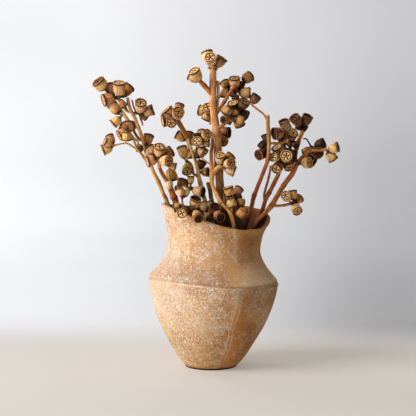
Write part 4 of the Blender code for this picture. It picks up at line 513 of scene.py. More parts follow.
def cluster_shape(name, depth, stems):
    """The hubs of a cluster, and its stalk and side twigs as lists of (place, radius)."""
    c = CLUSTERS[name]
    rows = c["twigs"][0]
    # the stalk runs from the hub to the stem's own depth
    end_y = join_depth(name, stems)
    run = [0.0]
    for a, b in zip(rows, rows[1:]):
        run.append(run[-1] + math.hypot(b[0] - a[0], b[1] - a[1]))
    ys = []
    for i, row in enumerate(rows):
        t = run[i] / run[-1]
        t = t * t * (3 - 2 * t)
        ys.append((depth + row[2] * 0.001) * (1 - t) + end_y * t)

    def own_depth(u, v, dy):
        """Depth of a place of the cluster; a place on the stalk takes the stalk's depth."""
        best = None
        for i in range(len(rows) - 1):
            (u0, v0), (u1, v1) = rows[i][:2], rows[i + 1][:2]
            du, dv = u1 - u0, v1 - v0
            t = min(1.0, max(0.0, ((u - u0) * du + (v - v0) * dv) / (du * du + dv * dv)))
            d = math.hypot(u0 + du * t - u, v0 + dv * t - v)
            if best is None or d < best[0]:
                best = (d, ys[i] + (ys[i + 1] - ys[i]) * t)
        return best[1] if best[0] < 1.8 else None

    out = [[(at(r[0], r[1], y), r[3] * PX / 2) for r, y in zip(rows, ys)]]
    hubs, hub_ys = [], []
    for h in c["hubs"]:
        y = own_depth(h[0], h[1], h[2])
        hub_ys.append(depth + h[2] * 0.001 if y is None else y)
    for side in c["twigs"][1:]:
        ends = []
        for r in (side[0], side[-1]):
            y = own_depth(r[0], r[1], r[2])
            if y is None:
                near = [(math.hypot(h[0] - r[0], h[1] - r[1]), hy) for h, hy in zip(c["hubs"], hub_ys)]
                if min(near)[0] < 2.5:
                    y = min(near)[1]
            ends.append(None if y is None else y - (depth + r[2] * 0.001))
        a, b = ends
        a = b if a is None else a
        b = a if b is None else b
        a, b = a or 0.0, b or 0.0
        n = len(side) - 1
        out.append([(at(r[0], r[1], depth + r[2] * 0.001 + a + (b - a) * i / n), r[3] * PX / 2) for i, r in enumerate(side)])
    for h, k in zip(c["hubs"], range(len(c["hubs"]))):
        y = hub_ys[k]
        if y == depth + h[2] * 0.001:
            for tw, side in zip(out[1:], c["twigs"][1:]):
                for p, r in zip(tw, side):
                    if math.hypot(h[0] - r[0], h[1] - r[1]) < 0.7:
                        y = p[0].y
        hub_ys[k] = y
        hubs.append(at(h[0], h[1], y))
    return hubs, hub_ys, out


def dense(path):
    out = []
    for a, b in zip(path, path[1:]):
        n = max(1, int((b - a).length / 0.002))
        out += [a.lerp(b, k / n) for k in range(n)]
    return out + [path[-1]]


def frame_of(d):
    d = d.normalized()
    ref = Vector((0, 0, 1)) if abs(d.z) < 0.9 else Vector((1, 0, 0))
    x = d.cross(ref).normalized()
    return x, d.cross(x).normalized()


def rim_height(a):
    return RIM_Z - 0.00995 * math.cos(a) + 0.0051 * math.sin(a) + 0.0056 * math.sin(2 * a) + 0.0024 * math.cos(2 * a)


def rim_point(a, r=RIM_R - LIP_T / 2, drop=0.0012):
    return Vector((RIM_X + r * math.cos(a), r * math.sin(a), rim_height(a) - drop))


def level(row):
    """Centre x, height, radius and sideways tilt of a level of the outline."""
    ul, vl, ur, vr = row
    a, b = at(ul, vl, 0.0), at(ur, vr, 0.0)
    c = (a + b) / 2
    return c.x, c.z, (b.x - a.x) / 2, (b.z - a.z) / (b.x - a.x)


# ---------------------------------------------------------------- colours
def lin(r, g, b):
    """Screen colour 0-255 to linear."""
    return tuple(((c / 255.0) / 12.92 if c <= 10 else (((c / 255.0) + 0.055) / 1.055) ** 2.4) for c in (r, g, b))


# body, shade and rim colours of a nut by tone
TONES = {
    "p": (lin(252, 200, 150), lin(156, 102, 66), lin(56, 24, 11)),      # pinkish peach
    "y": (lin(252, 211, 142), lin(172, 126, 66), lin(78, 40, 16)),     # yellow tan
    "o": (lin(206, 150, 78), lin(92, 60, 28), lin(44, 22, 9)),        # olive
    "d": (lin(122, 80, 52), lin(52, 31, 17), lin(30, 14, 8)),          # dark brown
    "u": (lin(200, 138, 98), lin(112, 68, 46), lin(44, 20, 12)),        # purple brown
    "c": (lin(255, 220, 166), lin(214, 160, 108), lin(80, 38, 20)),     # cream peach
    "g": (lin(240, 188, 122), lin(136, 90, 42), lin(60, 30, 12)),      # green tan
    "b": (lin(232, 160, 82), lin(116, 66, 28), lin(52, 24, 10)),       # orange brown
    "l": (lin(255, 208, 142), lin(160, 112, 62), lin(66, 34, 16)),     # pale olive
    "m": (lin(214, 164, 106), lin(118, 80, 46), lin(50, 26, 14)),      # grey tan
    "n": (lin(242, 178, 124), lin(142, 94, 64), lin(48, 22, 12)),       # mid brown
    "q": (lin(228, 186, 116), lin(118, 88, 48), lin(58, 32, 14)),      # grey olive
    "k": (lin(166, 134, 90), lin(94, 70, 42), lin(50, 28, 14)),        # dark olive
    "r": (lin(152, 102, 70), lin(70, 42, 25), lin(128, 76, 48)),        # dark with a lighter rim
}
# disc colour by tone
DISCS = {
    "c": lin(255, 208, 150), "g": lin(240, 178, 100), "k": lin(112, 68, 40), "o": lin(206, 138, 80), "p": lin(240, 192, 144),
    "r": lin(132, 78, 46), "y": lin(238, 200, 126), "w": lin(255, 214, 154),
}
# per nut, in the clusters' order: body tone, disc tone, then h where the valves lie deep inside the cup
NUT_TONES = {
    "nuts_left_top": "yrs Pkh pcs bkh nps bkh bkh",
    "nuts_left_small": "mkh ykh",
    "nuts_left_low": "Pkh nkh nps qkh qkh pp ykh pkh gkh nkh",
    "nuts_left_mid": "pcs pkh okh",
    "nuts_left_front": "pcs pkh bkh pp pgs pkh",
    "nuts_left_inner": "Qkh gkh ykh okh ckh",
    "nuts_upper_left": "yp up pws pgs ukh",
    "nuts_left_back": "gkh okh ykh",
    "nuts_centre_left": "Qkh qps",
    "nuts_centre_small": "dkh lkh",
    "nuts_centre_top": "Pw ukh dkh nkh ggs pkh pps dkh",
    "nuts_crown": "ccs ckh mb",
    "nuts_top_left": "ycs pkh",
    "nuts_right_top": "pcs okh okh lkh rkh okh lkh dkh",
    "nuts_right_inner": "do ucs mkh gkh dr bkh mkh oks dkh okh",
    "nuts_right_stem": "okh ggs",
    "nuts_left_stem": "lkh lcs gkh",
    "nuts_front": "cc bkh cg ckh",
    "nuts_mouth_right": "gp ukh gkh qkh okh dkh okh",
    "nuts_right_outer_left": "dkh dkh drs dkh",
    "nuts_right_arch": "ukh rbh dws dkh dkh",
    "nuts_right_crown": "rrs rbh dkh dkh dkh",
    "nuts_right_back": "uws mkh okh",
    "nuts_right_discs": "Pws Cws pws Ows ogs dkh dkh dkh dkh okh",
    "nuts_far_right": "ykh ykh",
    "nuts_right_dark": "drh drs okh drh",
    "nuts_right_tan": "cgs",
    "nuts_low_right": "ccs gkh bkh cc",
    "nuts_mouth_front": "mkh rcs mrs lkh pkh ckh",
    "nuts_mouth_centre": "kkh kkh urh ups urh",
}
DISCS["b"] = lin(176, 112, 62)
STEM_TONES = {
    "stem_main": ("pink", 5), "stem_left": ("tan", 3), "stem_left_thick": ("brown", 3), "stem_green": ("green", 4),
    "stem_olive": ("olive", 2), "stem_front": ("honey", 4), "stem_low": ("brown", 1), "stem_right_front": ("two_tone", 5),
    "stem_right_back": ("brown", 4), "stem_right_red": ("rust", 6), "branch_right_top": ("orange", 2),
    "branch_pale": ("pale", 1), "twig_bridge": ("rust", 0), "twig_right": ("brown", 1),
}
BARKS = {
    "pink": (lin(255, 208, 158), lin(212, 146, 94), lin(98, 48, 22)),
    "tan": (lin(255, 216, 148), lin(232, 168, 94), lin(128, 66, 24)),
    "brown": (lin(226, 152, 96), lin(164, 94, 48), lin(68, 32, 14)),
    "green": (lin(255, 234, 164), lin(255, 214, 136), lin(112, 76, 32)),
    "olive": (lin(196, 158, 94), lin(138, 102, 50), lin(62, 40, 16)),
    "red": (lin(212, 134, 82), lin(154, 80, 40), lin(64, 24, 10)),
    "rust": (lin(246, 172, 110), lin(196, 118, 62), lin(78, 36, 14)),
    "orange": (lin(240, 172, 98), lin(194, 120, 54), lin(88, 42, 14)),
    "dark": (lin(130, 74, 44), lin(80, 40, 20), lin(32, 14, 6)),
    "grey": (lin(222, 176, 118), lin(168, 118, 68), lin(84, 48, 22)),
    "gold": (lin(240, 182, 104), lin(180, 120, 54), lin(70, 34, 12)),
    "honey": (lin(255, 210, 140), lin(255, 176, 98), lin(150, 80, 30)),
    "pale": (lin(255, 222, 150), lin(226, 182, 104), lin(128, 86, 36)),
}


# ---------------------------------------------------------------- node helpers
def new_material(name):
    m = bpy.data.materials.new(name)
    m.use_nodes = True
    t = m.node_tree
    t.nodes.clear()
    out = t.nodes.new("ShaderNodeOutputMaterial")
    b = t.nodes.new("ShaderNodeBsdfPrincipled")
    t.links.new(b.outputs[0], out.inputs[0])
    return m, t, b


def put(t, socket, value):
    if hasattr(value, "is_linked") or isinstance(value, bpy.types.NodeSocket):
        t.links.new(value, socket)
    elif isinstance(value, (tuple, list)) and len(value) == 3 and socket.type == "RGBA":
        socket.default_value = (*value, 1.0)
    else:
        socket.default_value = value


def attr(t, name):
    n = t.nodes.new("ShaderNodeAttribute")
    n.attribute_name = name
    return n


def math_node(t, op, a, b=None, clamp=False):
    n = t.nodes.new("ShaderNodeMath")
    n.operation = op
    n.use_clamp = clamp
    put(t, n.inputs[0], a)
    if b is not None:
        put(t, n.inputs[1], b)
    return n.outputs[0]


def ramp(t, fac, lo, hi, a=0.0, b=1.0, smooth=True):
    n = t.nodes.new("ShaderNodeMapRange")
    n.interpolation_type = "SMOOTHSTEP" if smooth else "LINEAR"
    n.clamp = True
    put(t, n.inputs["Value"], fac)
    for key, v in (("From Min", lo), ("From Max", hi), ("To Min", a), ("To Max", b)):
        n.inputs[key].default_value = v
    return n.outputs["Result"]


def mix(t, fac, a, b, mode="MIX"):
    n = t.nodes.new("ShaderNodeMix")
    n.data_type = "RGBA"
    n.blend_type = mode
    n.clamp_factor = True
    put(t, n.inputs[0], fac)
    put(t, n.inputs[6], a)
    put(t, n.inputs[7], b)
    return n.outputs[2]


def noise(t, vec, scale, detail=3.0, rough=0.55, distortion=0.0, dims="3D"):
    n = t.nodes.new("ShaderNodeTexNoise")
    n.noise_dimensions = dims
    n.inputs["Scale"].default_value = scale
    n.inputs["Detail"].default_value = detail
    n.inputs["Roughness"].default_value = rough
    n.inputs["Distortion"].default_value = distortion
    if vec is not None:
        t.links.new(vec, n.inputs["Vector"])
    return n


def mapping(t, vec, scale=(1, 1, 1), loc=(0, 0, 0), rot=(0, 0, 0)):
    n = t.nodes.new("ShaderNodeMapping")
    n.inputs["Scale"].default_value = scale
    n.inputs["Location"].default_value = loc
    n.inputs["Rotation"].default_value = rot
    t.links.new(vec, n.inputs["Vector"])
    return n.outputs[0]


def bump(t, height, strength, distance, normal=None):
    n = t.nodes.new("ShaderNodeBump")
    n.inputs["Strength"].default_value = strength
    n.inputs["Distance"].default_value = distance
    put(t, n.inputs["Height"], height)
    if normal is not None:
        t.links.new(normal, n.inputs["Normal"])
    return n.outputs[0]


def combine(t, x, y, z):
    n = t.nodes.new("ShaderNodeCombineXYZ")
    put(t, n.inputs[0], x)
    put(t, n.inputs[1], y)
    put(t, n.inputs[2], z)
    return n.outputs[0]


# ---------------------------------------------------------------- materials
def painted_crevice_shade(t, reach, lo, hi, amount):
    """How deep a place lies between other pieces, for the painted shade that darkens the gaps between them."""
    n = t.nodes.new("ShaderNodeAmbientOcclusion")
    n.samples = 8
    n.inputs["Distance"].default_value = reach
    return ramp(t, n.outputs["AO"], hi, lo, 0.0, amount)


def nut_material():
    m, t, b = new_material("gum_nut_shell")
    co = t.nodes.new("ShaderNodeTexCoord").outputs["Object"]
    base, shade, rimc, discc = (attr(t, n).outputs["Color"] for n in ("base", "shade", "rimc", "discc"))
    tt = attr(t, "t").outputs["Fac"]
    rim = attr(t, "rim").outputs["Fac"]        # the dark outer edge of the mouth
    ann = attr(t, "ann").outputs["Fac"]        # the flat ring inside it
    disc = attr(t, "disc").outputs["Fac"]
    hole = attr(t, "hole").outputs["Fac"]
    ang = attr(t, "ang").outputs["Fac"]
    seed = attr(t, "seed").outputs["Fac"]
    bare = attr(t, "bare").outputs["Fac"]
    # long streaks and wrinkles that run from foot to rim
    ca, sa = math_node(t, "COSINE", ang), math_node(t, "SINE", ang)
    around = combine(t, math_node(t, "MULTIPLY", ca, 2.0), math_node(t, "MULTIPLY", sa, 2.0),
                     math_node(t, "ADD", math_node(t, "MULTIPLY", tt, 0.9), math_node(t, "MULTIPLY", seed, 37.0)))
    streak = noise(t, around, 2.2, 4.0, 0.62).outputs[0]
    fine = noise(t, around, 6.5, 3.0, 0.6).outputs[0]
    blotch = noise(t, co, 190.0, 3.0, 0.6).outputs[0]
    speck = noise(t, co, 900.0, 2.0, 0.6).outputs[0]
    c = mix(t, ramp(t, streak, 0.47, 0.64, 0.0, 0.92), base, shade)
    c = mix(t, ramp(t, blotch, 0.52, 0.72, 0.0, 0.55), c, shade)
    c = mix(t, ramp(t, fine, 0.52, 0.66, 0.0, 0.52), c, mix(t, 0.5, base, lin(255, 222, 170)))
    c = mix(t, ramp(t, tt, 0.62, 0.90, 0.0, 0.55), c, shade)
    # painted shade at the foot of the nut, where it meets its stalk, less on a nut that stands clear
    c = mix(t, math_node(t, "MULTIPLY", ramp(t, tt, 0.24, 0.04, 0.0, 0.90), math_node(t, "SUBTRACT", 1.0, math_node(t, "MULTIPLY", bare, 0.6))), c, rimc)
    c = mix(t, math_node(t, "MULTIPLY", rim, ramp(t, fine, 0.28, 0.62, 1.0, 0.80)), c, rimc)
    light = mix(t, ramp(t, blotch, 0.40, 0.70, 0.0, 0.45), mix(t, 0.5, mix(t, 0.4, discc, base), lin(232, 178, 124)), shade)
    c = mix(t, ann, c, light)
    d = mix(t, ramp(t, blotch, 0.52, 0.74, 0.0, 0.30), discc, mix(t, 0.5, discc, lin(110, 66, 34)))
    c = mix(t, disc, c, d)
    # painted shade: the groove round the disc and the inside of a hollow cup are darkened, and the slots between the
    # valves are painted near black for the shade down in them
    c = mix(t, attr(t, "deep").outputs["Fac"], c, lin(26, 12, 6))
    c = mix(t, hole, c, lin(12, 6, 4))
    c = mix(t, ramp(t, speck, 0.58, 0.72, 0.0, 0.42), c, lin(60, 36, 22))
    c = mix(t, ramp(t, speck, 0.38, 0.26, 0.0, 0.20), c, lin(236, 208, 168))
    # painted shade in the gaps between pieces, weaker on the ring and disc and on a nut that stands clear
    inside = math_node(t, "SUBTRACT", 1.0, math_node(t, "MULTIPLY", math_node(t, "MAXIMUM", ann, disc), 0.65))
    inside = math_node(t, "MULTIPLY", inside, math_node(t, "SUBTRACT", 1.0, math_node(t, "MULTIPLY", bare, 0.75)))
    c = mix(t, math_node(t, "MULTIPLY", painted_crevice_shade(t, 0.014, 0.30, 0.82, 0.92), inside), c, lin(28, 14, 7))
    t.links.new(c, b.inputs["Base Color"])
    rough = ramp(t, blotch, 0.3, 0.7, 0.42, 0.66)
    t.links.new(rough, b.inputs["Roughness"])
    b.inputs["Specular IOR Level"].default_value = 0.38
    h = math_node(t, "ADD", math_node(t, "MULTIPLY", fine, 0.6), math_node(t, "MULTIPLY", speck, 0.35))
    t.links.new(bump(t, h, 0.55, 0.0005), b.inputs["Normal"])
    return m


def bark_material(name, light, mid, dark, top=None):
    m, t, b = new_material(name)
    co = t.nodes.new("ShaderNodeTexCoord").outputs["Object"]
    along = attr(t, "along").outputs["Fac"]
    ang = attr(t, "ang").outputs["Fac"]
    seed = attr(t, "seed").outputs["Fac"]
    cut = attr(t, "cut").outputs["Fac"]
    knot = attr(t, "knot").outputs["Fac"]
    ca, sa = math_node(t, "COSINE", ang), math_node(t, "SINE", ang)
    v = combine(t, math_node(t, "MULTIPLY", ca, 1.6), math_node(t, "MULTIPLY", sa, 1.6),
                math_node(t, "ADD", math_node(t, "MULTIPLY", along, 60.0), math_node(t, "MULTIPLY", seed, 31.0)))
    if top:
        # the upper part has another colour
        up = ramp(t, math_node(t, "ADD", along, math_node(t, "MULTIPLY", noise(t, co, 40.0, 2.0).outputs[0], 0.02)), 0.075, 0.050)
        light, mid, dark = (mix(t, up, a, b_) for a, b_ in zip((light, mid, dark), top))
    streak = noise(t, v, 1.5, 5.0, 0.62).outputs[0]
    v2 = combine(t, math_node(t, "MULTIPLY", ca, 3.4), math_node(t, "MULTIPLY", sa, 3.4),
                 math_node(t, "ADD", math_node(t, "MULTIPLY", along, 150.0), math_node(t, "MULTIPLY", seed, 17.0)))
    fine = noise(t, v2, 2.4, 4.0, 0.65).outputs[0]
    patch = noise(t, co, 60.0, 3.0, 0.6).outputs[0]
    grit = noise(t, co, 900.0, 2.0, 0.6).outputs[0]
    c = mix(t, ramp(t, streak, 0.36, 0.62), light, mid)
    c = mix(t, ramp(t, patch, 0.48, 0.74, 0.0, 0.75), c, mid)
    c = mix(t, ramp(t, fine, 0.56, 0.72, 0.0, 0.8), c, dark)
    c = mix(t, math_node(t, "MULTIPLY", knot, 0.75), c, dark)
    # painted shade on the stem as it goes down into the neck
    c = mix(t, math_node(t, "MULTIPLY", attr(t, "dim").outputs["Fac"], 0.90), c, lin(34, 18, 10))
    c = mix(t, ramp(t, grit, 0.60, 0.74, 0.0, 0.35), c, dark)
    c = mix(t, cut, c, mix(t, ramp(t, fine, 0.4, 0.6), lin(255, 228, 188), lin(216, 172, 122)))
    # painted shade in the gaps between pieces, lighter on the honey stem
    c = mix(t, painted_crevice_shade(t, 0.015, 0.34, 0.84, 0.55 if name == "bark_honey" else 0.92), c, lin(32, 16, 8))
    t.links.new(c, b.inputs["Base Color"])
    t.links.new(ramp(t, patch, 0.3, 0.7, 0.55, 0.78), b.inputs["Roughness"])
    b.inputs["Specular IOR Level"].default_value = 0.32
    h = math_node(t, "ADD", math_node(t, "MULTIPLY", fine, 0.8), math_node(t, "MULTIPLY", grit, 0.3))
    t.links.new(bump(t, h, 0.6, 0.0006), b.inputs["Normal"])
    return m


def stone_material():
    m, t, b = new_material("speckled_stoneware")
    co = t.nodes.new("ShaderNodeTexCoord").outputs["Object"]
    sep = t.nodes.new("ShaderNodeSeparateXYZ")
    t.links.new(co, sep.inputs[0])
    X, Y, Z = sep.outputs
    inner = attr(t, "inner").outputs["Fac"]
    lip = attr(t, "lip").outputs["Fac"]
    shoulder = attr(t, "shoulder").outputs["Fac"]
    ridge = attr(t, "ridge").outputs["Fac"]
    under = attr(t, "under").outputs["Fac"]
    foot = attr(t, "foot").outputs["Fac"]
    front = ramp(t, Y, 0.0, -0.012)
    big = noise(t, co, 9.0, 3.0, 0.55).outputs[0]
    mid = noise(t, co, 36.0, 4.0, 0.6, 0.4).outputs[0]
    grain = noise(t, co, 420.0, 3.0, 0.65).outputs[0]
    pits = noise(t, co, 1100.0, 2.0, 0.6).outputs[0]
    wander = noise(t, mapping(t, co, (1, 1, 0.5)), 60.0, 3.0, 0.6).outputs[0]
    wander = math_node(t, "MULTIPLY", math_node(t, "SUBTRACT", wander, 0.5), 0.010)

    def strip(x0, z0, x1, z1, width, soft, wob=1.0):
        """A run down the front face from (x0, z0) to (x1, z1)."""
        k = (x1 - x0) / (z1 - z0)
        line = math_node(t, "ADD", math_node(t, "MULTIPLY", math_node(t, "SUBTRACT", Z, z0), k), x0)
        off = math_node(t, "SUBTRACT", math_node(t, "ADD", X, math_node(t, "MULTIPLY", wander, wob)), line)
        a = ramp(t, math_node(t, "ABSOLUTE", off), width, width - soft)
        lo, hi = min(z0, z1), max(z0, z1)
        a = math_node(t, "MULTIPLY", a, ramp(t, Z, lo - 0.004, lo + 0.010))
        a = math_node(t, "MULTIPLY", a, ramp(t, Z, hi + 0.004, hi - 0.010))
        return math_node(t, "MULTIPLY", a, front)

    ground = mix(t, ramp(t, big, 0.36, 0.66), lin(222, 171, 114), lin(206, 150, 91))
    ground = mix(t, ramp(t, mid, 0.44, 0.70, 0.0, 0.7), ground, lin(180, 122, 68))
    ground = mix(t, ramp(t, mid, 0.44, 0.26, 0.0, 0.5), ground, lin(232, 190, 142))
    ground = mix(t, ramp(t, grain, 0.58, 0.76, 0.0, 0.5), ground, lin(158, 98, 48))
    band = strip(0.0480, 0.108, 0.0175, 0.0, 0.0112, 0.009)
    band_up = strip(0.0395, 0.196, 0.0400, 0.136, 0.0062, 0.005)
    ground = mix(t, math_node(t, "MULTIPLY", math_node(t, "MAXIMUM", band, math_node(t, "MULTIPLY", band_up, 0.8)), 0.75), ground,
                 lin(208, 142, 72))
    ground = mix(t, math_node(t, "MULTIPLY", shoulder, ramp(t, X, 0.010, 0.040, 0.40, 0.0)), ground, lin(164, 118, 78))
    ground = mix(t, math_node(t, "MULTIPLY", shoulder, ramp(t, X, 0.020, 0.050, 0.0, 0.65)), ground, lin(244, 204, 160))
    ground = mix(t, ramp(t, Z, 0.075, 0.035, 0.0, 0.16), ground, lin(96, 60, 32))
    # a thin pale skin broken up like a maze of short fibres
    cover = noise(t, co, 26.0, 3.0, 0.62).outputs[0]

    def fibres(scale, offset, width, soft, dist):
        n1 = noise(t, mapping(t, co, (1, 1, 1), offset), scale, 1.0, 0.5, dist).outputs[0]
        line = math_node(t, "ABSOLUTE", math_node(t, "SUBTRACT", n1, 0.5))
        return ramp(t, line, width + soft, width - soft)
    f = fibres(250.0, (3.1, 7.7, 1.3), 0.028, 0.011, 0.7)
    f2 = fibres(330.0, (13.1, 2.7, 5.3), 0.026, 0.011, 0.7)
    f = math_node(t, "MAXIMUM", f, math_node(t, "MULTIPLY", f2, 0.95))
    patch = noise(t, mapping(t, co, (1, 1, 1), (7.7, 1.1, 4.1)), 120.0, 2.0, 0.6).outputs[0]
    # the coat lies thickest on the left of the pot
    side = math_node(t, "ADD", ramp(t, X, 0.050, -0.050, -0.06, 0.15), ramp(t, Z, 0.168, 0.104, -0.03, 0.07))
    side = math_node(t, "ADD", side, ramp(t, Z, 0.080, 0.020, 0.0, -0.08))
    f = math_node(t, "MULTIPLY", f, ramp(t, math_node(t, "ADD", patch, side), 0.38, 0.56, 0.25, 1.0))
    f = math_node(t, "MULTIPLY", f, ramp(t, math_node(t, "ADD", cover, side), 0.34, 0.56, 0.25, 1.0))
    skin = math_node(t, "MULTIPLY", ramp(t, math_node(t, "ADD", cover, side), 0.48, 0.70, 0.0, 0.24), ramp(t, patch, 0.40, 0.60, 0.4, 1.0))
    f = math_node(t, "MAXIMUM", f, skin)
    dots = noise(t, mapping(t, co, (1, 1, 1), (1.7, 4.4, 8.8)), 520.0, 1.0, 0.5).outputs[0]
    bright = math_node(t, "MULTIPLY", ramp(t, dots, 0.56, 0.64), f)
    bare = math_node(t, "MAXIMUM", band, math_node(t, "MULTIPLY", band_up, 0.9))
    f = math_node(t, "MULTIPLY", f, math_node(t, "SUBTRACT", 1.0, math_node(t, "MULTIPLY", bare, 0.75)))
    # pale runs beside the darker band and one below the lip
    drips = strip(0.0325, 0.102, 0.0140, 0.012, 0.0016, 0.0013, 0.6)
    drips = math_node(t, "MAXIMUM", drips, strip(0.0370, 0.090, 0.0170, 0.010, 0.0013, 0.0011, 0.8))
    drips = math_node(t, "MAXIMUM", drips, strip(0.0290, 0.195, 0.0300, 0.142, 0.0038, 0.0032, 0.8))
    drips = math_node(t, "MAXIMUM", drips, strip(0.0440, 0.196, 0.0466, 0.190, 0.0010, 0.0008, 0.0))
    drips = math_node(t, "MAXIMUM", drips, strip(0.0492, 0.196, 0.0466, 0.190, 0.0010, 0.0008, 0.0))
    drips = math_node(t, "MAXIMUM", drips, strip(0.0465, 0.192, 0.0450, 0.182, 0.0012, 0.0010, 0.0))
    drips = math_node(t, "MULTIPLY", drips, ramp(t, grain, 0.36, 0.56, 0.25, 1.0))
    c = mix(t, math_node(t, "MULTIPLY", f, 0.86), ground, mix(t, ramp(t, Z, 0.085, 0.045), lin(246, 240, 228), lin(244, 226, 196)))
    c = mix(t, math_node(t, "MULTIPLY", bright, 0.80), c, lin(255, 253, 248))
    c = mix(t, math_node(t, "MULTIPLY", shoulder, ramp(t, X, 0.030, 0.012, 0.0, 0.22)), c, lin(146, 100, 66))
    # painted shade on the right of the body, the side away from the light
    c = mix(t, math_node(t, "MULTIPLY", ramp(t, X, 0.026, 0.050, 0.0, 0.26), math_node(t, "SUBTRACT", 1.0, shoulder)), c, lin(84, 50, 26))
    c = mix(t, math_node(t, "MULTIPLY", drips, 0.5), c, lin(244, 226, 198))
    # scratchy pale line along the ridge, partly a painted highlight, with a painted shadow above it; darker foot and
    # lip, with a painted contact shadow along the bottom of the foot
    scratch = noise(t, mapping(t, co, (1, 1, 3.0)), 150.0, 3.0, 0.7).outputs[0]
    c = mix(t, math_node(t, "MULTIPLY", under, ramp(t, scratch, 0.30, 0.55, 0.05, 0.45)), c, lin(150, 104, 66))
    c = mix(t, math_node(t, "MULTIPLY", ridge, ramp(t, scratch, 0.42, 0.56, 0.1, 0.9)), c, lin(250, 236, 216))
    c = mix(t, math_node(t, "MULTIPLY", foot, 0.6), c, lin(148, 92, 44))
    # painted contact shadow along the bottom edge of the foot
    c = mix(t, ramp(t, Z, 0.0032, 0.0014), c, lin(58, 34, 18))
    c = mix(t, math_node(t, "MULTIPLY", lip, ramp(t, mid, 0.3, 0.7, 0.8, 0.5)), c, lin(164, 106, 60))
    # painted shade inside the neck: the inner wall darkens with depth, all but its right-hand part that faces the light
    # is darker, and the gaps are darkened further
    c = mix(t, math_node(t, "MULTIPLY", inner, 0.92), c, mix(t, ramp(t, Z, 0.198, 0.168), mix(t, ramp(t, mid, 0.35, 0.65), lin(156, 102, 62), lin(112, 68, 38)), lin(36, 20, 11)))
    c = mix(t, math_node(t, "MULTIPLY", inner, ramp(t, X, 0.050, 0.036, 0.0, 0.80)), c, lin(28, 15, 8))
    c = mix(t, math_node(t, "MULTIPLY", inner, painted_crevice_shade(t, 0.016, 0.30, 0.80, 0.85)), c, lin(20, 11, 6))
    t.links.new(c, b.inputs["Base Color"])
    b.inputs["Roughness"].default_value = 0.86
    b.inputs["Specular IOR Level"].default_value = 0.22
    h = math_node(t, "ADD", math_node(t, "MULTIPLY", grain, 0.6),
                  math_node(t, "ADD", math_node(t, "MULTIPLY", pits, 0.35), math_node(t, "MULTIPLY", f, 0.8)))
    t.links.new(bump(t, h, 0.6, 0.0007), b.inputs["Normal"])
    return m


# ---------------------------------------------------------------- mesh building
class Build:
    """Collects vertices, faces and per-vertex values of one piece."""

    def __init__(self, fields, colours=()):
        self.v, self.f, self.mat = [], [], []
        self.val = {k: [] for k in fields}
        self.col = {k: [] for k in colours}

    def add(self, co, **values):
        self.v.append(tuple(co))
        for k in self.val:
            self.val[k].append(float(values.get(k, 0.0)))
        for k in self.col:
            self.col[k].append(values.get(k, (0.5, 0.5, 0.5)))
        return len(self.v) - 1

    def face(self, ids, mat=0):
        self.f.append(tuple(ids))
        self.mat.append(mat)

    def bridge(self, a, b, mat=0):
        n = len(a)
        for k in range(n):
            self.face((a[k], a[(k + 1) % n], b[(k + 1) % n], b[k]), mat)

    def fan(self, ring, tip, flip=False, mat=0):
        n = len(ring)
        for k in range(n):
            a, b = ring[k], ring[(k + 1) % n]
            self.face((b, a, tip) if flip else (a, b, tip), mat)

    def make(self, name, materials, sharp=None):
        me = bpy.data.meshes.new(name)
        me.from_pydata(self.v, [], self.f)
        for k, vals in self.val.items():
            a = me.attributes.new(k, "FLOAT", "POINT")
            a.data.foreach_set("value", np.array(vals, dtype=np.float32))
        for k, vals in self.col.items():
            a = me.attributes.new(k, "FLOAT_COLOR", "POINT")
            a.data.foreach_set("color", np.array([(*c, 1.0) for c in vals], dtype=np.float32).ravel())
        for m in materials:
            me.materials.append(m)
        me.polygons.foreach_set("material_index", np.array(self.mat, dtype=np.int32))
        me.shade_smooth()
        if sharp:
            me.set_sharp_from_angle(angle=math.radians(sharp))
        me.validate()
        me.update()
        ob = bpy.data.objects.new(name, me)
        bpy.context.scene.collection.objects.link(ob)
        return ob


def wob(rng, n=4, lo=2, hi=9):
    """A smooth random periodic function of the angle."""
    terms = [(rng.randint(lo, hi), rng.uniform(0, 2 * math.pi), rng.uniform(0.4, 1.0)) for _ in range(n)]
    s = sum(w for _k, _p, w in terms)
    return lambda a: sum(w * math.sin(k * a + p) for k, p, w in terms) / s


# along, radius of a slim nut, radius of a plump one
NUT_SIDE = [
    (0.00, 0.20, 0.22), (0.03, 0.27, 0.36), (0.07, 0.36, 0.50), (0.13, 0.47, 0.66), (0.20, 0.575, 0.79), (0.29, 0.68, 0.89),
    (0.39, 0.77, 0.955), (0.50, 0.845, 0.99), (0.61, 0.895, 0.99), (0.71, 0.925, 0.97), (0.79, 0.935, 0.945), (0.84, 0.94, 0.94),
]
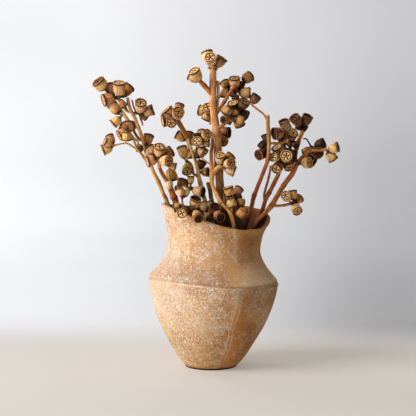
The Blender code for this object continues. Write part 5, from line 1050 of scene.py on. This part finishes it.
# the mouth: along, radius, dark edge, flat ring, disc, deep shade.  First a nut with its valves level with the rim, then a hollow one
MOUTH_FLAT = [
    (0.845, 0.955, 0.65, 0, 0, 0), (0.880, 0.985, 1.0, 0, 0, 0), (0.92, 1.01, 1.0, 0, 0, 0), (0.960, 1.005, 1.0, 0, 0, 0), (0.990, 0.975, 0.55, 0.5, 0, 0),
    (1.0, 0.935, 0.0, 1.0, 0, 0), (0.998, 0.885, 0.0, 1.0, 0, 0), (0.985, 0.845, 0.2, 0.8, 0, 0), (0.940, 0.810, 1.0, 0, 0, 0.6), (0.885, 0.765, 1.0, 0, 0.0, 1.0),
    (0.900, 0.725, 0.6, 0.0, 0.3, 0.7), (0.942, 0.680, 0.0, 0, 1.0, 0),
]
MOUTH_DEEP = [
    (0.845, 0.955, 0.65, 0, 0, 0), (0.880, 0.985, 1.0, 0, 0, 0), (0.92, 1.01, 1.0, 0, 0, 0), (0.965, 1.005, 0.8, 0.1, 0, 0), (0.993, 0.980, 0.25, 0.7, 0, 0),
    (1.0, 0.930, 0.0, 1.0, 0, 0), (0.985, 0.875, 0.2, 0.8, 0, 0.0), (0.93, 0.845, 0.9, 0, 0, 0.45), (0.86, 0.82, 0.9, 0, 0, 0.85), (0.80, 0.79, 0.8, 0, 0.1, 1.0),
    (0.775, 0.74, 0.5, 0, 0.5, 0.8), (0.79, 0.69, 0.1, 0, 0.9, 0.25),
]
DISC_RINGS = [0.64, 0.57, 0.49, 0.41, 0.32, 0.21, 0.10]


def nut(B, base, axis, length, radius, tone, seed, twist=0.0):
    rng = random.Random(seed)
    bare = 1.0 if tone[0].isupper() else 0.0      # a nut that stands clear of the others, which gets less painted shade
    tone = tone.lower()
    deep = tone.endswith("h")
    valves = rng.choice((4, 4, 5, 5, 5)) if not deep else rng.choice((4, 5))
    per = 6
    sides = valves * per
    x, y = frame_of(axis)
    body, shade, rimc = TONES[tone[0]]
    disc = DISCS[tone[1]]
    k = rng.uniform(0.92, 1.10)
    body = tuple(min(1.0, c * k) for c in body)
    shade = tuple(c * rng.uniform(0.9, 1.1) for c in shade)
    sq = rng.uniform(-0.045, 0.045)
    lean = Vector((rng.uniform(-1, 1), rng.uniform(-1, 1), 0)) * 0.05 * radius
    rib_n = rng.choice((5, 6, 8, 9, 10))
    rib_a = rng.uniform(0.004, 0.020)
    rib_p = rng.uniform(0, 6.28)
    low, high = wob(rng, 4, 2, 5), wob(rng, 5, 3, 9)
    wave, chip = wob(rng, 4, 2, 6), wob(rng, 6, 4, 13)
    full = {"y": 0.75, "g": 0.8, "c": 0.6, "o": 0.7}.get(tone[0], 0.5) + rng.uniform(-0.25, 0.25)
    ragged = (0.035 if deep else 0.014)
    raised = rng.choice((0.0, 0.02, 0.05)) if not deep else rng.choice((0.0, 0.06))
    colours = dict(base=body, shade=shade, rimc=rimc, discc=disc)
    val = dict(seed=rng.random(), bare=bare)
    floor_t = 0.950 if not deep else 0.79

    star = rng.random() < 0.6 or "s" in tone[2:]
    # painted shade on the valves that lie down in a hollow cup
    dark = 0.0 if not deep else rng.uniform(0.0, 0.25)

    def ring(t, r, rim=0.0, ann=0.0, dsc=0.0, dp=0.0, hole=None):
        ids = []
        for i in range(sides):
            a = 2 * math.pi * i / sides
            fade = 1 - min(1, max(0, (t - 0.55) / 0.4))
            rr = r * (1 + sq * math.cos(2 * a + rib_p))
            if dsc < 0.5:
                rr *= 1 + 0.028 * low(a) * (0.6 + fade) + fade * (rib_a * math.cos(rib_n * a + rib_p) + 0.014 * high(a))
            tt = t + ((0.014 * wave(a) + ragged * chip(a)) * min(1, max(0, (t - 0.86) / 0.1)) if dsc < 0.5 else 0.0)
            hh = hole[i % per] if hole else 0.0
            tt -= hh * (0.14 if not deep else 0.08)
            p = base + axis * (length * tt) + (x * math.cos(a + twist) + y * math.sin(a + twist)) * (radius * rr)
            p = p + (x * lean.x + y * lean.y) * math.sin(math.pi * min(1, max(0, t)))
            ids.append(B.add(p, t=t, rim=rim, ann=ann, disc=dsc, hole=min(1.0, hh * 1.4), ang=a, deep=dp, **val, **colours))
        return ids

    rows = [ring(t, a + (b - a) * full) for t, a, b in NUT_SIDE]
    rows += [ring(*p) for p in (MOUTH_DEEP if deep else MOUTH_FLAT)]
    wide = rng.random() < 0.85 or "s" in tone[2:]
    for r in DISC_RINGS:
        t = floor_t + raised * (1 - (r / 0.69) ** 2) - (0.015 if deep else 0.0) * (1 - r)
        if r > 0.60:
            pattern = [0.0] * per
        elif r > 0.52:
            pattern = [0.55, 0.2 if wide else 0.0, 0, 0, 0, 0.2 if wide else 0.0]
        elif r > 0.30:
            pattern = [1.0, 0.85 if wide else 0.5, 0, 0, 0, 0.85 if wide else 0.5]
        elif r > 0.18:
            pattern = [1.0, 0.55, 0.1, 0, 0.1, 0.55] if star else [0.75, 0.2, 0, 0, 0, 0.2]
        else:
            pattern = [1.0, 0.8, 0.6, 0.5, 0.6, 0.8] if star else [0.25, 0.1, 0.0, 0.0, 0.0, 0.1]
        rows.append(ring(t, r, 0.0, 0.0, 1.0, dark, pattern))
    for a, b in zip(rows, rows[1:]):
        B.bridge(a, b)
    tip = B.add(base + axis * (length * (floor_t - 0.01 + raised)), t=0.9, disc=1.0, hole=0.7 if star else 0.15, deep=dark, **val, **colours)
    B.fan(rows[-1], tip)
    foot = B.add(base + axis * (length * -0.02), t=0.0, **val, **colours)
    B.fan(rows[0], foot, flip=True)


def tube(B, path, rad, sides, seed, knots=(), rough=0.05, cap0=0.0, cap1=0.0, mat=0, taper0=False, taper1=False):
    """A stem: an uneven tube with swollen nodes.  cap0/cap1: 1 where the end is a cut face."""
    rng = random.Random(seed)
    n = len(path)
    run = [0.0]
    for a, b in zip(path, path[1:]):
        run.append(run[-1] + (b - a).length)
    w1, w2, w3 = wob(rng, 3, 1, 3), wob(rng, 3, 2, 4), wob(rng, 3, 3, 7)
    s = rng.random()
    rows = []
    x = None
    for i, p in enumerate(path):
        d = (path[min(n - 1, i + 1)] - path[max(0, i - 1)]).normalized()
        if x is None:
            x, _y = frame_of(d)
        x = (x - d * x.dot(d)).normalized()
        yv = d.cross(x)
        kn = 0.0
        for at_len, size in knots:
            kn += size * math.exp(-((run[i] - at_len) / max(0.0011, rad[i] * 0.9)) ** 2)
        r = rad[i]
        ph = run[i] * 90.0
        if taper0:
            r *= min(1.0, 0.25 + run[i] / 0.004)
        if taper1:
            r *= min(1.0, 0.25 + (run[-1] - run[i]) / 0.004)
        ids = []
        for j in range(sides):
            a = 2 * math.pi * j / sides
            k = 1 + rough * (0.7 * w1(a + 0.02 * ph) + 0.5 * w2(a - 0.035 * ph + 1.3) + 0.35 * w3(a + 0.3 * math.sin(ph * 0.11)))
            k += 0.035 * math.sin(ph * 0.33 + s * 6) * rough / 0.05
            k += kn * (1 + 0.35 * math.cos(a + s * 6))
            ids.append(B.add(p + (x * math.cos(a) + yv * math.sin(a)) * (r * k), along=run[i], ang=a, seed=s, knot=min(1, kn * 2.2)))
        rows.append(ids)
    for a, b in zip(rows, rows[1:]):
        B.bridge(a, b, mat)
    for k, (ids, cap, i) in enumerate(((rows[0], cap0, 0), (rows[-1], cap1, n - 1))):
        inward = (path[1] - path[0]).normalized() if k == 0 else (path[-2] - path[-1]).normalized()
        if cap:
            # a cut or broken face, slightly jagged
            inner = [B.add(Vector(B.v[v]).lerp(path[i], 0.14) - inward * (rad[i] * 0.10 * (1 + 0.9 * w3(2 * math.pi * j / sides))),
                           along=run[i], ang=2 * math.pi * j / sides, seed=s, cut=cap * 0.8) for j, v in enumerate(ids)]
            mid = [B.add(Vector(B.v[v]).lerp(path[i], 0.55) - inward * (rad[i] * (0.16 + 0.22 * w2(2 * math.pi * j / sides))),
                         along=run[i], ang=2 * math.pi * j / sides, seed=s, cut=cap) for j, v in enumerate(ids)]
            if k == 0:
                B.bridge(inner, ids, mat)
                B.bridge(mid, inner, mat)
            else:
                B.bridge(ids, inner, mat)
                B.bridge(inner, mid, mat)
            last = mid
            tip = B.add(path[i] - inward * (rad[i] * 0.10), along=run[i], seed=s, cut=cap)
        else:
            last = ids
            tip = B.add(path[i] - inward * (rad[i] * 0.35), along=run[i], seed=s)
        B.fan(last, tip, flip=(k == 0), mat=mat)


def ball(B, centre, radius, seed, mat=0, squash=1.0):
    rng = random.Random(seed)
    w = wob(rng, 4, 1, 4)
    s = rng.random()
    rows = []
    for i in range(1, 8):
        ph = math.pi * i / 8
        rows.append([B.add(centre + Vector((math.sin(ph) * math.cos(a), math.sin(ph) * math.sin(a), math.cos(ph) * squash))
                           * (radius * (1 + 0.10 * w(a + ph))), along=ph * radius, ang=a, seed=s, knot=0.25)
                     for a in (2 * math.pi * j / 12 for j in range(12))])
    for a, b in zip(rows, rows[1:]):
        B.bridge(b, a, mat)
    top = B.add(centre + Vector((0, 0, radius * squash)), seed=s)
    bot = B.add(centre - Vector((0, 0, radius * squash)), seed=s)
    B.fan(rows[0], top, flip=False, mat=mat)
    B.fan(rows[-1], bot, flip=True, mat=mat)


# ---------------------------------------------------------------- the vase
def smooth_levels(count):
    """The outline's levels, read smoothly: centre x, height, radius, sideways tilt."""
    raw = [level(r) for r in OUTLINE[1:]]
    pts = [Vector(r) if False else r for r in raw]
    n = len(pts)
    ext = [tuple(2 * a - b for a, b in zip(pts[0], pts[1]))] + pts + [tuple(2 * a - b for a, b in zip(pts[-1], pts[-2]))]
    out = []
    for i in range(1, n):
        p0, p1, p2, p3 = ext[i - 1], ext[i], ext[i + 1], ext[i + 2]
        fine = 0.0007 if 0.100 < (p1[1] + p2[1]) / 2 < 0.124 else 0.0016
        k = max(2, round(abs(p2[1] - p1[1]) / fine) + 1)
        for j in range(k):
            t = j / k
            out.append(tuple(0.5 * (2 * b + (c - a) * t + (2 * a - 5 * b + 4 * c - d) * t * t + (3 * b - a - 3 * c + d) * t ** 3)
                             for a, b, c, d in zip(p0, p1, p2, p3)))
    out.append(pts[-1])
    return out


RIDGE_Z = 0.1126


def ridge_lift(a, z):
    """The shoulder ridge runs higher at the front left."""
    d = (math.degrees(a) - 232 + 180) % 360 - 180
    if abs(d) > 75:
        return 0.0
    w = math.exp(-((z - RIDGE_Z) / 0.026) ** 2)
    return 0.0070 * math.cos(math.radians(d * 1.2)) ** 2 * w


def make_vase(mat):
    B = Build(("inner", "lip", "shoulder", "ridge", "under", "foot"))
    sides = 160
    angles = [2 * math.pi * k / sides for k in range(sides)]
    rng = random.Random(11)
    w_out, w_rim, w_big = wob(rng, 5, 2, 7), wob(rng, 6, 5, 17), wob(rng, 3, 1, 3)
    levels = smooth_levels(0)
    neck = levels[-1]

    def vert(p, z_ref, inner=0.0, lip=0.0):
        out = inner == 0
        a = math.degrees(math.atan2(p.y, p.x)) % 360
        sh = min(1, max(0, (z_ref - 0.112) / 0.003)) * min(1, max(0, (0.160 - z_ref) / 0.03)) if out else 0.0
        # the pale scratched line, partly a painted highlight, shows most at the front left where the light catches it
        part = 0.12 + 0.88 * math.exp(-((a - 250) / 17) ** 4)
        ridge_highlight_mask = part * math.exp(-((z_ref - 0.1118) / 0.0011) ** 2) if out else 0.0
        # painted shadow just above the ridge
        ridge_shadow_mask = (0.45 + 0.55 * math.exp(-((a - 285) / 40) ** 4)) * math.exp(-((z_ref - 0.1140) / 0.0012) ** 2) if out else 0.0
        ft = min(1, max(0, (0.006 - p.z) / 0.005)) if out else 0.0
        return B.add(p, inner=inner, lip=lip, shoulder=sh, ridge=ridge_highlight_mask, under=ridge_shadow_mask, foot=ft)

    def on(lv, inset=0.0, lift=0.0, inner=0.0):
        cx, cz, r, tilt = lv
        ids = []
        for a in angles:
            rr = r - inset
            if inner == 0:
                rr += 0.00035 * w_out(a + cz * 9) + 0.0005 * w_big(a + cz * 4)
                # the lower wall ends in a small crisp step
                rr += 0.0005 * math.exp(-((cz - 0.1116) / 0.0020) ** 2) - 0.0006 * math.exp(-((cz - 0.1142) / 0.0016) ** 2)
            z = cz + lift + tilt * rr * math.cos(a)
            zz = z + (ridge_lift(a, z) if inner == 0 else 0.0)
            ids.append(vert(Vector((cx + rr * math.cos(a), rr * math.sin(a), zz)), z, inner=inner))
        return ids

    def flare(t, inset, inner=0.0, lip=0.0, drop=0.0):
        cx, cz, r, tilt = neck
        ids = []
        for a in angles:
            low = Vector((cx + r * math.cos(a), r * math.sin(a), cz + tilt * r * math.cos(a)))
            rim = RIM_R + 0.0006 * w_rim(a) * t
            top = Vector((RIM_X + rim * math.cos(a), rim * math.sin(a), rim_height(a) + 0.0005 * w_rim(a + 1) - drop))
            k = t ** 1.5
            p = Vector((low.x + (top.x - low.x) * k, low.y + (top.y - low.y) * k, low.z + (top.z - low.z) * t))
            d = Vector((math.cos(a), math.sin(a), 0))
            wobble = 0.00035 * w_out(a + p.z * 9) + 0.0005 * w_big(a + p.z * 4) if inner == 0 else 0.0
            ids.append(vert(p - d * (inset - wobble), p.z, inner=inner, lip=lip))
        return ids

    def foot(r, z):
        return [vert(Vector((r * math.cos(a), r * math.sin(a), z)), z) for a in angles]

    rows = [foot(0.010, 0.0006), foot(FOOT_R * 0.80, 0.0005), foot(FOOT_R * 0.90, 0.0), foot(FOOT_R * 0.955, 0.0), foot(FOOT_R * 0.985, 0.0006),
            foot(FOOT_R * 1.0, 0.0018)]
    for lv in levels:
        if lv[1] > 0.0045:
            rows.append(on(lv))
    for i in range(1, 25):
        rows.append(flare(i / 26, 0.0, lip=max(0.0, (i - 23) / 4)))
    rows.append(flare(0.975, 0.0002, lip=0.6))
    rows.append(flare(1.0, 0.0006, lip=0.8, drop=0.0006))
    rows.append(flare(1.0, 0.0014, lip=1.0))
    rows.append(flare(1.0, LIP_T * 0.62, lip=1.0, drop=-0.00005))
    rows.append(flare(1.0, LIP_T - 0.0007, lip=1.0, drop=0.0005))
    rows.append(flare(0.97, LIP_T - 0.0001, lip=0.9, inner=0.3))
    for t in (0.92, 0.85, 0.76, 0.66, 0.55, 0.44, 0.32, 0.20, 0.10):
        rows.append(flare(t, LIP_T + 0.0004 + 0.0008 * (1 - t), inner=1.0, lip=0.3 if t > 0.9 else 0.0))
    for lv in levels[::-6]:
        if lv[1] > 0.014:
            rows.append(on(lv, WALL_T, inner=1.0))
    for r, z in ((0.034, 0.0115), (0.029, 0.0090), (0.015, FLOOR_T)):
        rows.append([vert(Vector((0.001 + r * math.cos(a), r * math.sin(a), z)), z, inner=1.0) for a in angles])
    for a, b in zip(rows, rows[1:]):
        B.bridge(a, b)
    B.fan(rows[0], B.add((0, 0, 0.0006), foot=1.0), flip=True)
    B.fan(rows[-1], B.add((0.001, 0, FLOOR_T), inner=1.0))
    return B.make("vase_stoneware", [mat])


# ---------------------------------------------------------------- put it together
def build_all():
    random.seed(5)
    nut_mat = nut_material()
    barks = {k: bark_material("bark_" + k, *v) for k, v in BARKS.items()}
    barks["two_tone"] = bark_material("bark_two_tone", *BARKS["red"], top=BARKS["grey"])
    stone = stone_material()

    vase = make_vase(stone)
    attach(vase, "root")
    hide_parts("vase")

    coarse = {}
    for name, rows in STEMS.items():
        pts, rad = stem_rows(name, rows)
        coarse[name] = curve(pts, rad, 0.018)
    for name, (carrier, rows) in BRANCHES.items():
        pts, rad = stem_rows(name, rows)
        path, r = curve(pts, rad, 0.012)
        coarse[name] = clip_end(path, r, coarse[carrier])
    for k, (name, rows) in enumerate(list(STEMS.items()) + [(n, r) for n, (_c, r) in BRANCHES.items()]):
        pts, rad = stem_rows(name, rows)
        path, rr = curve(pts, rad, 0.0016)
        tone, knots = STEM_TONES[name]
        rng = random.Random(900 + k)
        length = sum((b - a).length for a, b in zip(path, path[1:]))
        spots = sorted((0.008 + (0.62 * length) * (i + rng.uniform(0.2, 0.8)) / max(1, knots), rng.uniform(0.10, 0.26)) for i in range(knots))
        B = Build(("along", "ang", "seed", "cut", "knot", "dim"))
        tube(B, path, rr, 16, 40 + k, spots, rough=0.055, cap0=1.0, cap1=0.6)
        for j, (u, v, size, cut) in enumerate(KNOBS.get(name, ())):
            near = min(range(len(path)), key=lambda i: (at(u, v, path[i].y) - path[i]).length)
            centre = at(u, v, path[near].y - rr[near] * 0.55)
            n0 = len(B.v)
            ball(B, centre, size * PX / 2, 60 + 9 * k + j, squash=1.25 if cut else 0.9)
            for i in range(n0, len(B.v)):
                B.val["cut"][i] = cut
        lo, hi = NECK_SHADE_SPAN.get(name, (0.190, 0.214))
        B.val["dim"] = [min(1.0, max(0.0, (hi - p[2]) / (hi - lo))) for p in B.v]
        ob = B.make(name + "_bark", [barks[tone]])
        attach(ob, "root")
        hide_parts(name)

    depth, shift = settle(coarse)
    for c_no, (name, c) in enumerate(CLUSTERS.items()):
        B = Build(("t", "rim", "ann", "disc", "hole", "ang", "seed", "along", "cut", "knot", "deep", "bare"), ("base", "shade", "rimc", "discc"))
        tones = NUT_TONES[name].split()
        hubs, hub_ys, twigs = cluster_shape(name, depth[name], coarse)
        # the hub and the short stalks under the nuts are darker than the twigs, painted shade where the nuts crowd
        # round them
        gloom = 0.15 if name in ("nuts_mouth_right", "nuts_front", "nuts_crown", "nuts_right_inner") else 0.75
        for k, h in enumerate(c["hubs"]):
            n0 = len(B.v)
            ball(B, hubs[k], h[3] * PX * 0.92, 300 + 7 * c_no + k, mat=1)
            for i in range(n0, len(B.v)):
                B.val["knot"][i] = gloom
        for k, tw in enumerate(twigs):
            path, rad = curve([p for p, _ in tw], [r for _, r in tw], 0.0014)
            if len(path) >= 3:
                rng = random.Random(70 * c_no + k)
                length = sum((b - a).length for a, b in zip(path, path[1:]))
                spots = [(rng.uniform(0.1, 0.9) * length, rng.uniform(0.08, 0.2)) for _ in range(max(1, int(length / 0.014)))]
                tube(B, path, rad, 12, 500 + 11 * c_no + k, spots, rough=0.06, mat=1)
        for k, row in enumerate(c["nuts"]):
            base, mouth, axis, length, radius = place_nut(row, hub_ys[row[0]], shift[name][k])
            nut(B, base, axis, length, radius, tones[k % len(tones)], 1000 + 31 * c_no + k, 0.4 * k)
            hub = hubs[row[0]]
            if (base - hub).length > 0.0004:
                tip = base + axis * (length * 0.10)
                mid = hub.lerp(base, 0.55) + Vector((0, 0, -0.0004))
                path, rad = curve([hub, mid, base, tip], [0.0014, 0.00115, 0.0014, 0.0021], 0.0012)
                n0 = len(B.v)
                tube(B, path, rad, 10, 2000 + 31 * c_no + k, (), rough=0.07, mat=1)
                for i in range(n0, len(B.v)):
                    B.val["knot"][i] = gloom * 0.8
        tone = CLUSTER_BARK.get(name, "brown")
        ob = B.make(name + "_detail", [nut_mat, barks[tone]], sharp=60)
        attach(ob, "root")
        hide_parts(name)


# knobs and scars on the stems: picture place, width, 1 where the wood lies bare
KNOBS = {
    "stem_front": [(222.4, 202.4, 3.2, 0.0), (219.8, 203.4, 2.6, 0.1), (232.4, 209.4, 3.4, 0.0)],
    "stem_main": [(208.8, 67.6, 3.2, 0.0), (216.6, 69.2, 3.0, 0.0), (211.2, 99.6, 1.8, 0.0), (210.0, 92.6, 3.0, 0.0)],
    "branch_pale": [(217.2, 82.2, 3.8, 0.0), (216.2, 85.0, 3.2, 0.0)],
    "stem_left_thick": [(168.8, 185.2, 8.2, 1.0)],
    "stem_right_red": [(309.4, 149.8, 4.4, 0.0)],
    "stem_right_front": [(268.6, 133.4, 4.4, 0.0)],
}
# heights between which a stem is darkened, painted shade, as it goes down into the neck, where it differs from the
# others
NECK_SHADE_SPAN = {"stem_front": (0.154, 0.168), "stem_low": (0.175, 0.190), "stem_main": (0.200, 0.282), "stem_right_front": (0.186, 0.206),
          "stem_right_red": (0.180, 0.196), "stem_olive": (0.186, 0.208)}
CLUSTER_BARK = {
    "nuts_left_top": "tan", "nuts_left_small": "grey", "nuts_left_mid": "orange", "nuts_left_low": "tan", "nuts_upper_left": "gold",
    "nuts_crown": "pink", "nuts_top_left": "orange", "nuts_left_front": "tan", "nuts_left_stem": "green", "nuts_centre_left": "orange",
    "nuts_right_top": "brown", "nuts_right_inner": "grey", "nuts_front": "tan", "nuts_mouth_right": "tan", "nuts_centre_top": "green",
    "nuts_right_discs": "orange", "nuts_far_right": "orange", "nuts_low_right": "orange", "nuts_left_inner": "orange",
    "nuts_right_arch": "orange", "nuts_right_dark": "dark", "nuts_right_crown": "dark", "nuts_right_outer_left": "dark", "nuts_left_back": "olive",
}


# ---------------------------------------------------------------- studio
def area(name, loc, target, size, size_y, energy, colour):
    data = bpy.data.lights.new(name, "AREA")
    data.shape = "RECTANGLE"
    data.size, data.size_y = size, size_y
    data.energy = energy
    data.color = colour
    ob = bpy.data.objects.new(name, data)
    ob.location = loc
    ob.rotation_euler = (Vector(target) - Vector(loc)).to_track_quat("-Z", "Y").to_euler()
    bpy.context.scene.collection.objects.link(ob)
    return ob


def studio():
    sc = bpy.context.scene
    # floor that sweeps up into a wall far behind
    B = Build(())
    prof = [(-3.2, 0.0), (-2.0, 0.0), (-1.0, 0.0), (0.0, 0.0), (0.8, 0.0), (1.5, 0.0)]
    r = 0.9
    for i in range(1, 17):
        a = math.pi / 2 * i / 16
        prof.append((1.5 + r * math.sin(a), r * (1 - math.cos(a))))
    prof += [(2.4, 1.6), (2.4, 2.6), (2.4, 4.2)]
    rows = [[B.add((x, y, z)) for x in (-5.0, -2.5, 0.0, 2.5, 5.0)] for y, z in prof]
    for a, b in zip(rows, rows[1:]):
        for k in range(len(a) - 1):
            B.face((a[k], a[k + 1], b[k + 1], b[k]))
    m, t, b = new_material("pale_floor")
    co = t.nodes.new("ShaderNodeTexCoord").outputs["Object"]
    n = noise(t, co, 1.4, 2.0, 0.5).outputs[0]
    sep = t.nodes.new("ShaderNodeSeparateXYZ")
    t.links.new(co, sep.inputs[0])
    X, Y, Z = sep.outputs
    wall = mix(t, ramp(t, n, 0.3, 0.7), lin(236, 237, 240), lin(232, 233, 237))
    floor_c = mix(t, ramp(t, n, 0.3, 0.7), lin(179, 177, 175), lin(175, 173, 171))
    # painted shade: the backdrop greys off to the right, most where it is low, and a little high up on the far left
    across = ramp(t, math_node(t, "SUBTRACT", X, math_node(t, "MULTIPLY", Y, 0.12)), -0.05, 0.22)
    low = math_node(t, "ADD", ramp(t, Y, 2.35, 1.9, 0.0, 0.16), ramp(t, Y, 1.6, 0.3, 0.0, 0.20))
    grey = math_node(t, "MULTIPLY", across, low)
    painted_corner_shade = math_node(t, "MULTIPLY", ramp(t, Z, 0.15, 0.50, 0.0, 0.12), ramp(t, X, -0.25, -0.62))
    wall = mix(t, math_node(t, "ADD", grey, painted_corner_shade), wall, (0.0, 0.0, 0.0))
    t.links.new(mix(t, ramp(t, Y, 0.12, 0.34), floor_c, wall), b.inputs["Base Color"])
    # painted light: the floor near the vase glows a little, which lifts the vase's shadow
    t.links.new(mix(t, ramp(t, Y, 0.12, 0.34), lin(255, 244, 232), lin(236, 244, 255)), b.inputs["Emission Color"])
    # painted light: the backdrop glows so that it stays bright down to the floor on the left
    lift = math_node(t, "MULTIPLY", ramp(t, Z, 0.14, 0.0, 0.0, 0.07), math_node(t, "MULTIPLY", ramp(t, X, 0.05, -0.25), ramp(t, Y, 0.20, 0.45)))
    t.links.new(math_node(t, "ADD", ramp(t, Y, 0.12, 0.34, 0.25, 0.0), lift), b.inputs["Emission Strength"])
    b.inputs["Roughness"].default_value = 0.9
    b.inputs["Specular IOR Level"].default_value = 0.1
    floor = B.make("floor_sweep", [m])

    w = bpy.data.worlds.new("studio")
    w.use_nodes = True
    bg = w.node_tree.nodes["Background"]
    bg.inputs[0].default_value = (*lin(248, 244, 240), 1.0)
    bg.inputs[1].default_value = WORLD_LIGHT
    sc.world = w
    area("key", KEY_AT, (0, 0, 0.2), *KEY_SIZE, KEY_LIGHT, (1.0, 0.98, 0.95))
    area("front", (-0.5, -2.6, 0.9), (0.05, 0, 0.3), 1.2, 1.0, FRONT_LIGHT, (1.0, 0.98, 0.95))
    area("top", (0.5, -0.3, 2.4), (0.05, 0, 0), 1.7, 1.7, TOP_LIGHT, (1.0, 0.99, 0.97))
    area("wall_wash", (-1.75, 1.45, 1.35), (-0.2, 2.4, 0.70), 0.9, 0.9, WASH_LIGHT, (0.97, 0.985, 1.0))
    cam = bpy.data.cameras.new("camera")
    cam.lens = 140.0
    cam.sensor_width = 36.0
    ob = bpy.data.objects.new("camera", cam)
    ob.location = (EYE_X, -EYE_DIST, EYE_HEIGHT)
    ob.rotation_euler = (math.radians(90) - EYE_PITCH, 0.0, 0.0)
    sc.collection.objects.link(ob)
    sc.camera = ob
    sc.view_settings.view_transform = "Standard"
    sc.view_settings.look = LOOK
    sc.view_settings.exposure = 0.0


WORLD_LIGHT = 0.075
KEY_LIGHT = 82.0
FRONT_LIGHT = 4.6
WASH_LIGHT = 18.6
TOP_LIGHT = 8.0
KEY_AT = (-2.3, -1.10, 1.50)
KEY_SIZE = (1.9, 1.7)
LOOK = "Medium High Contrast"

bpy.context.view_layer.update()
studio()
build_all()
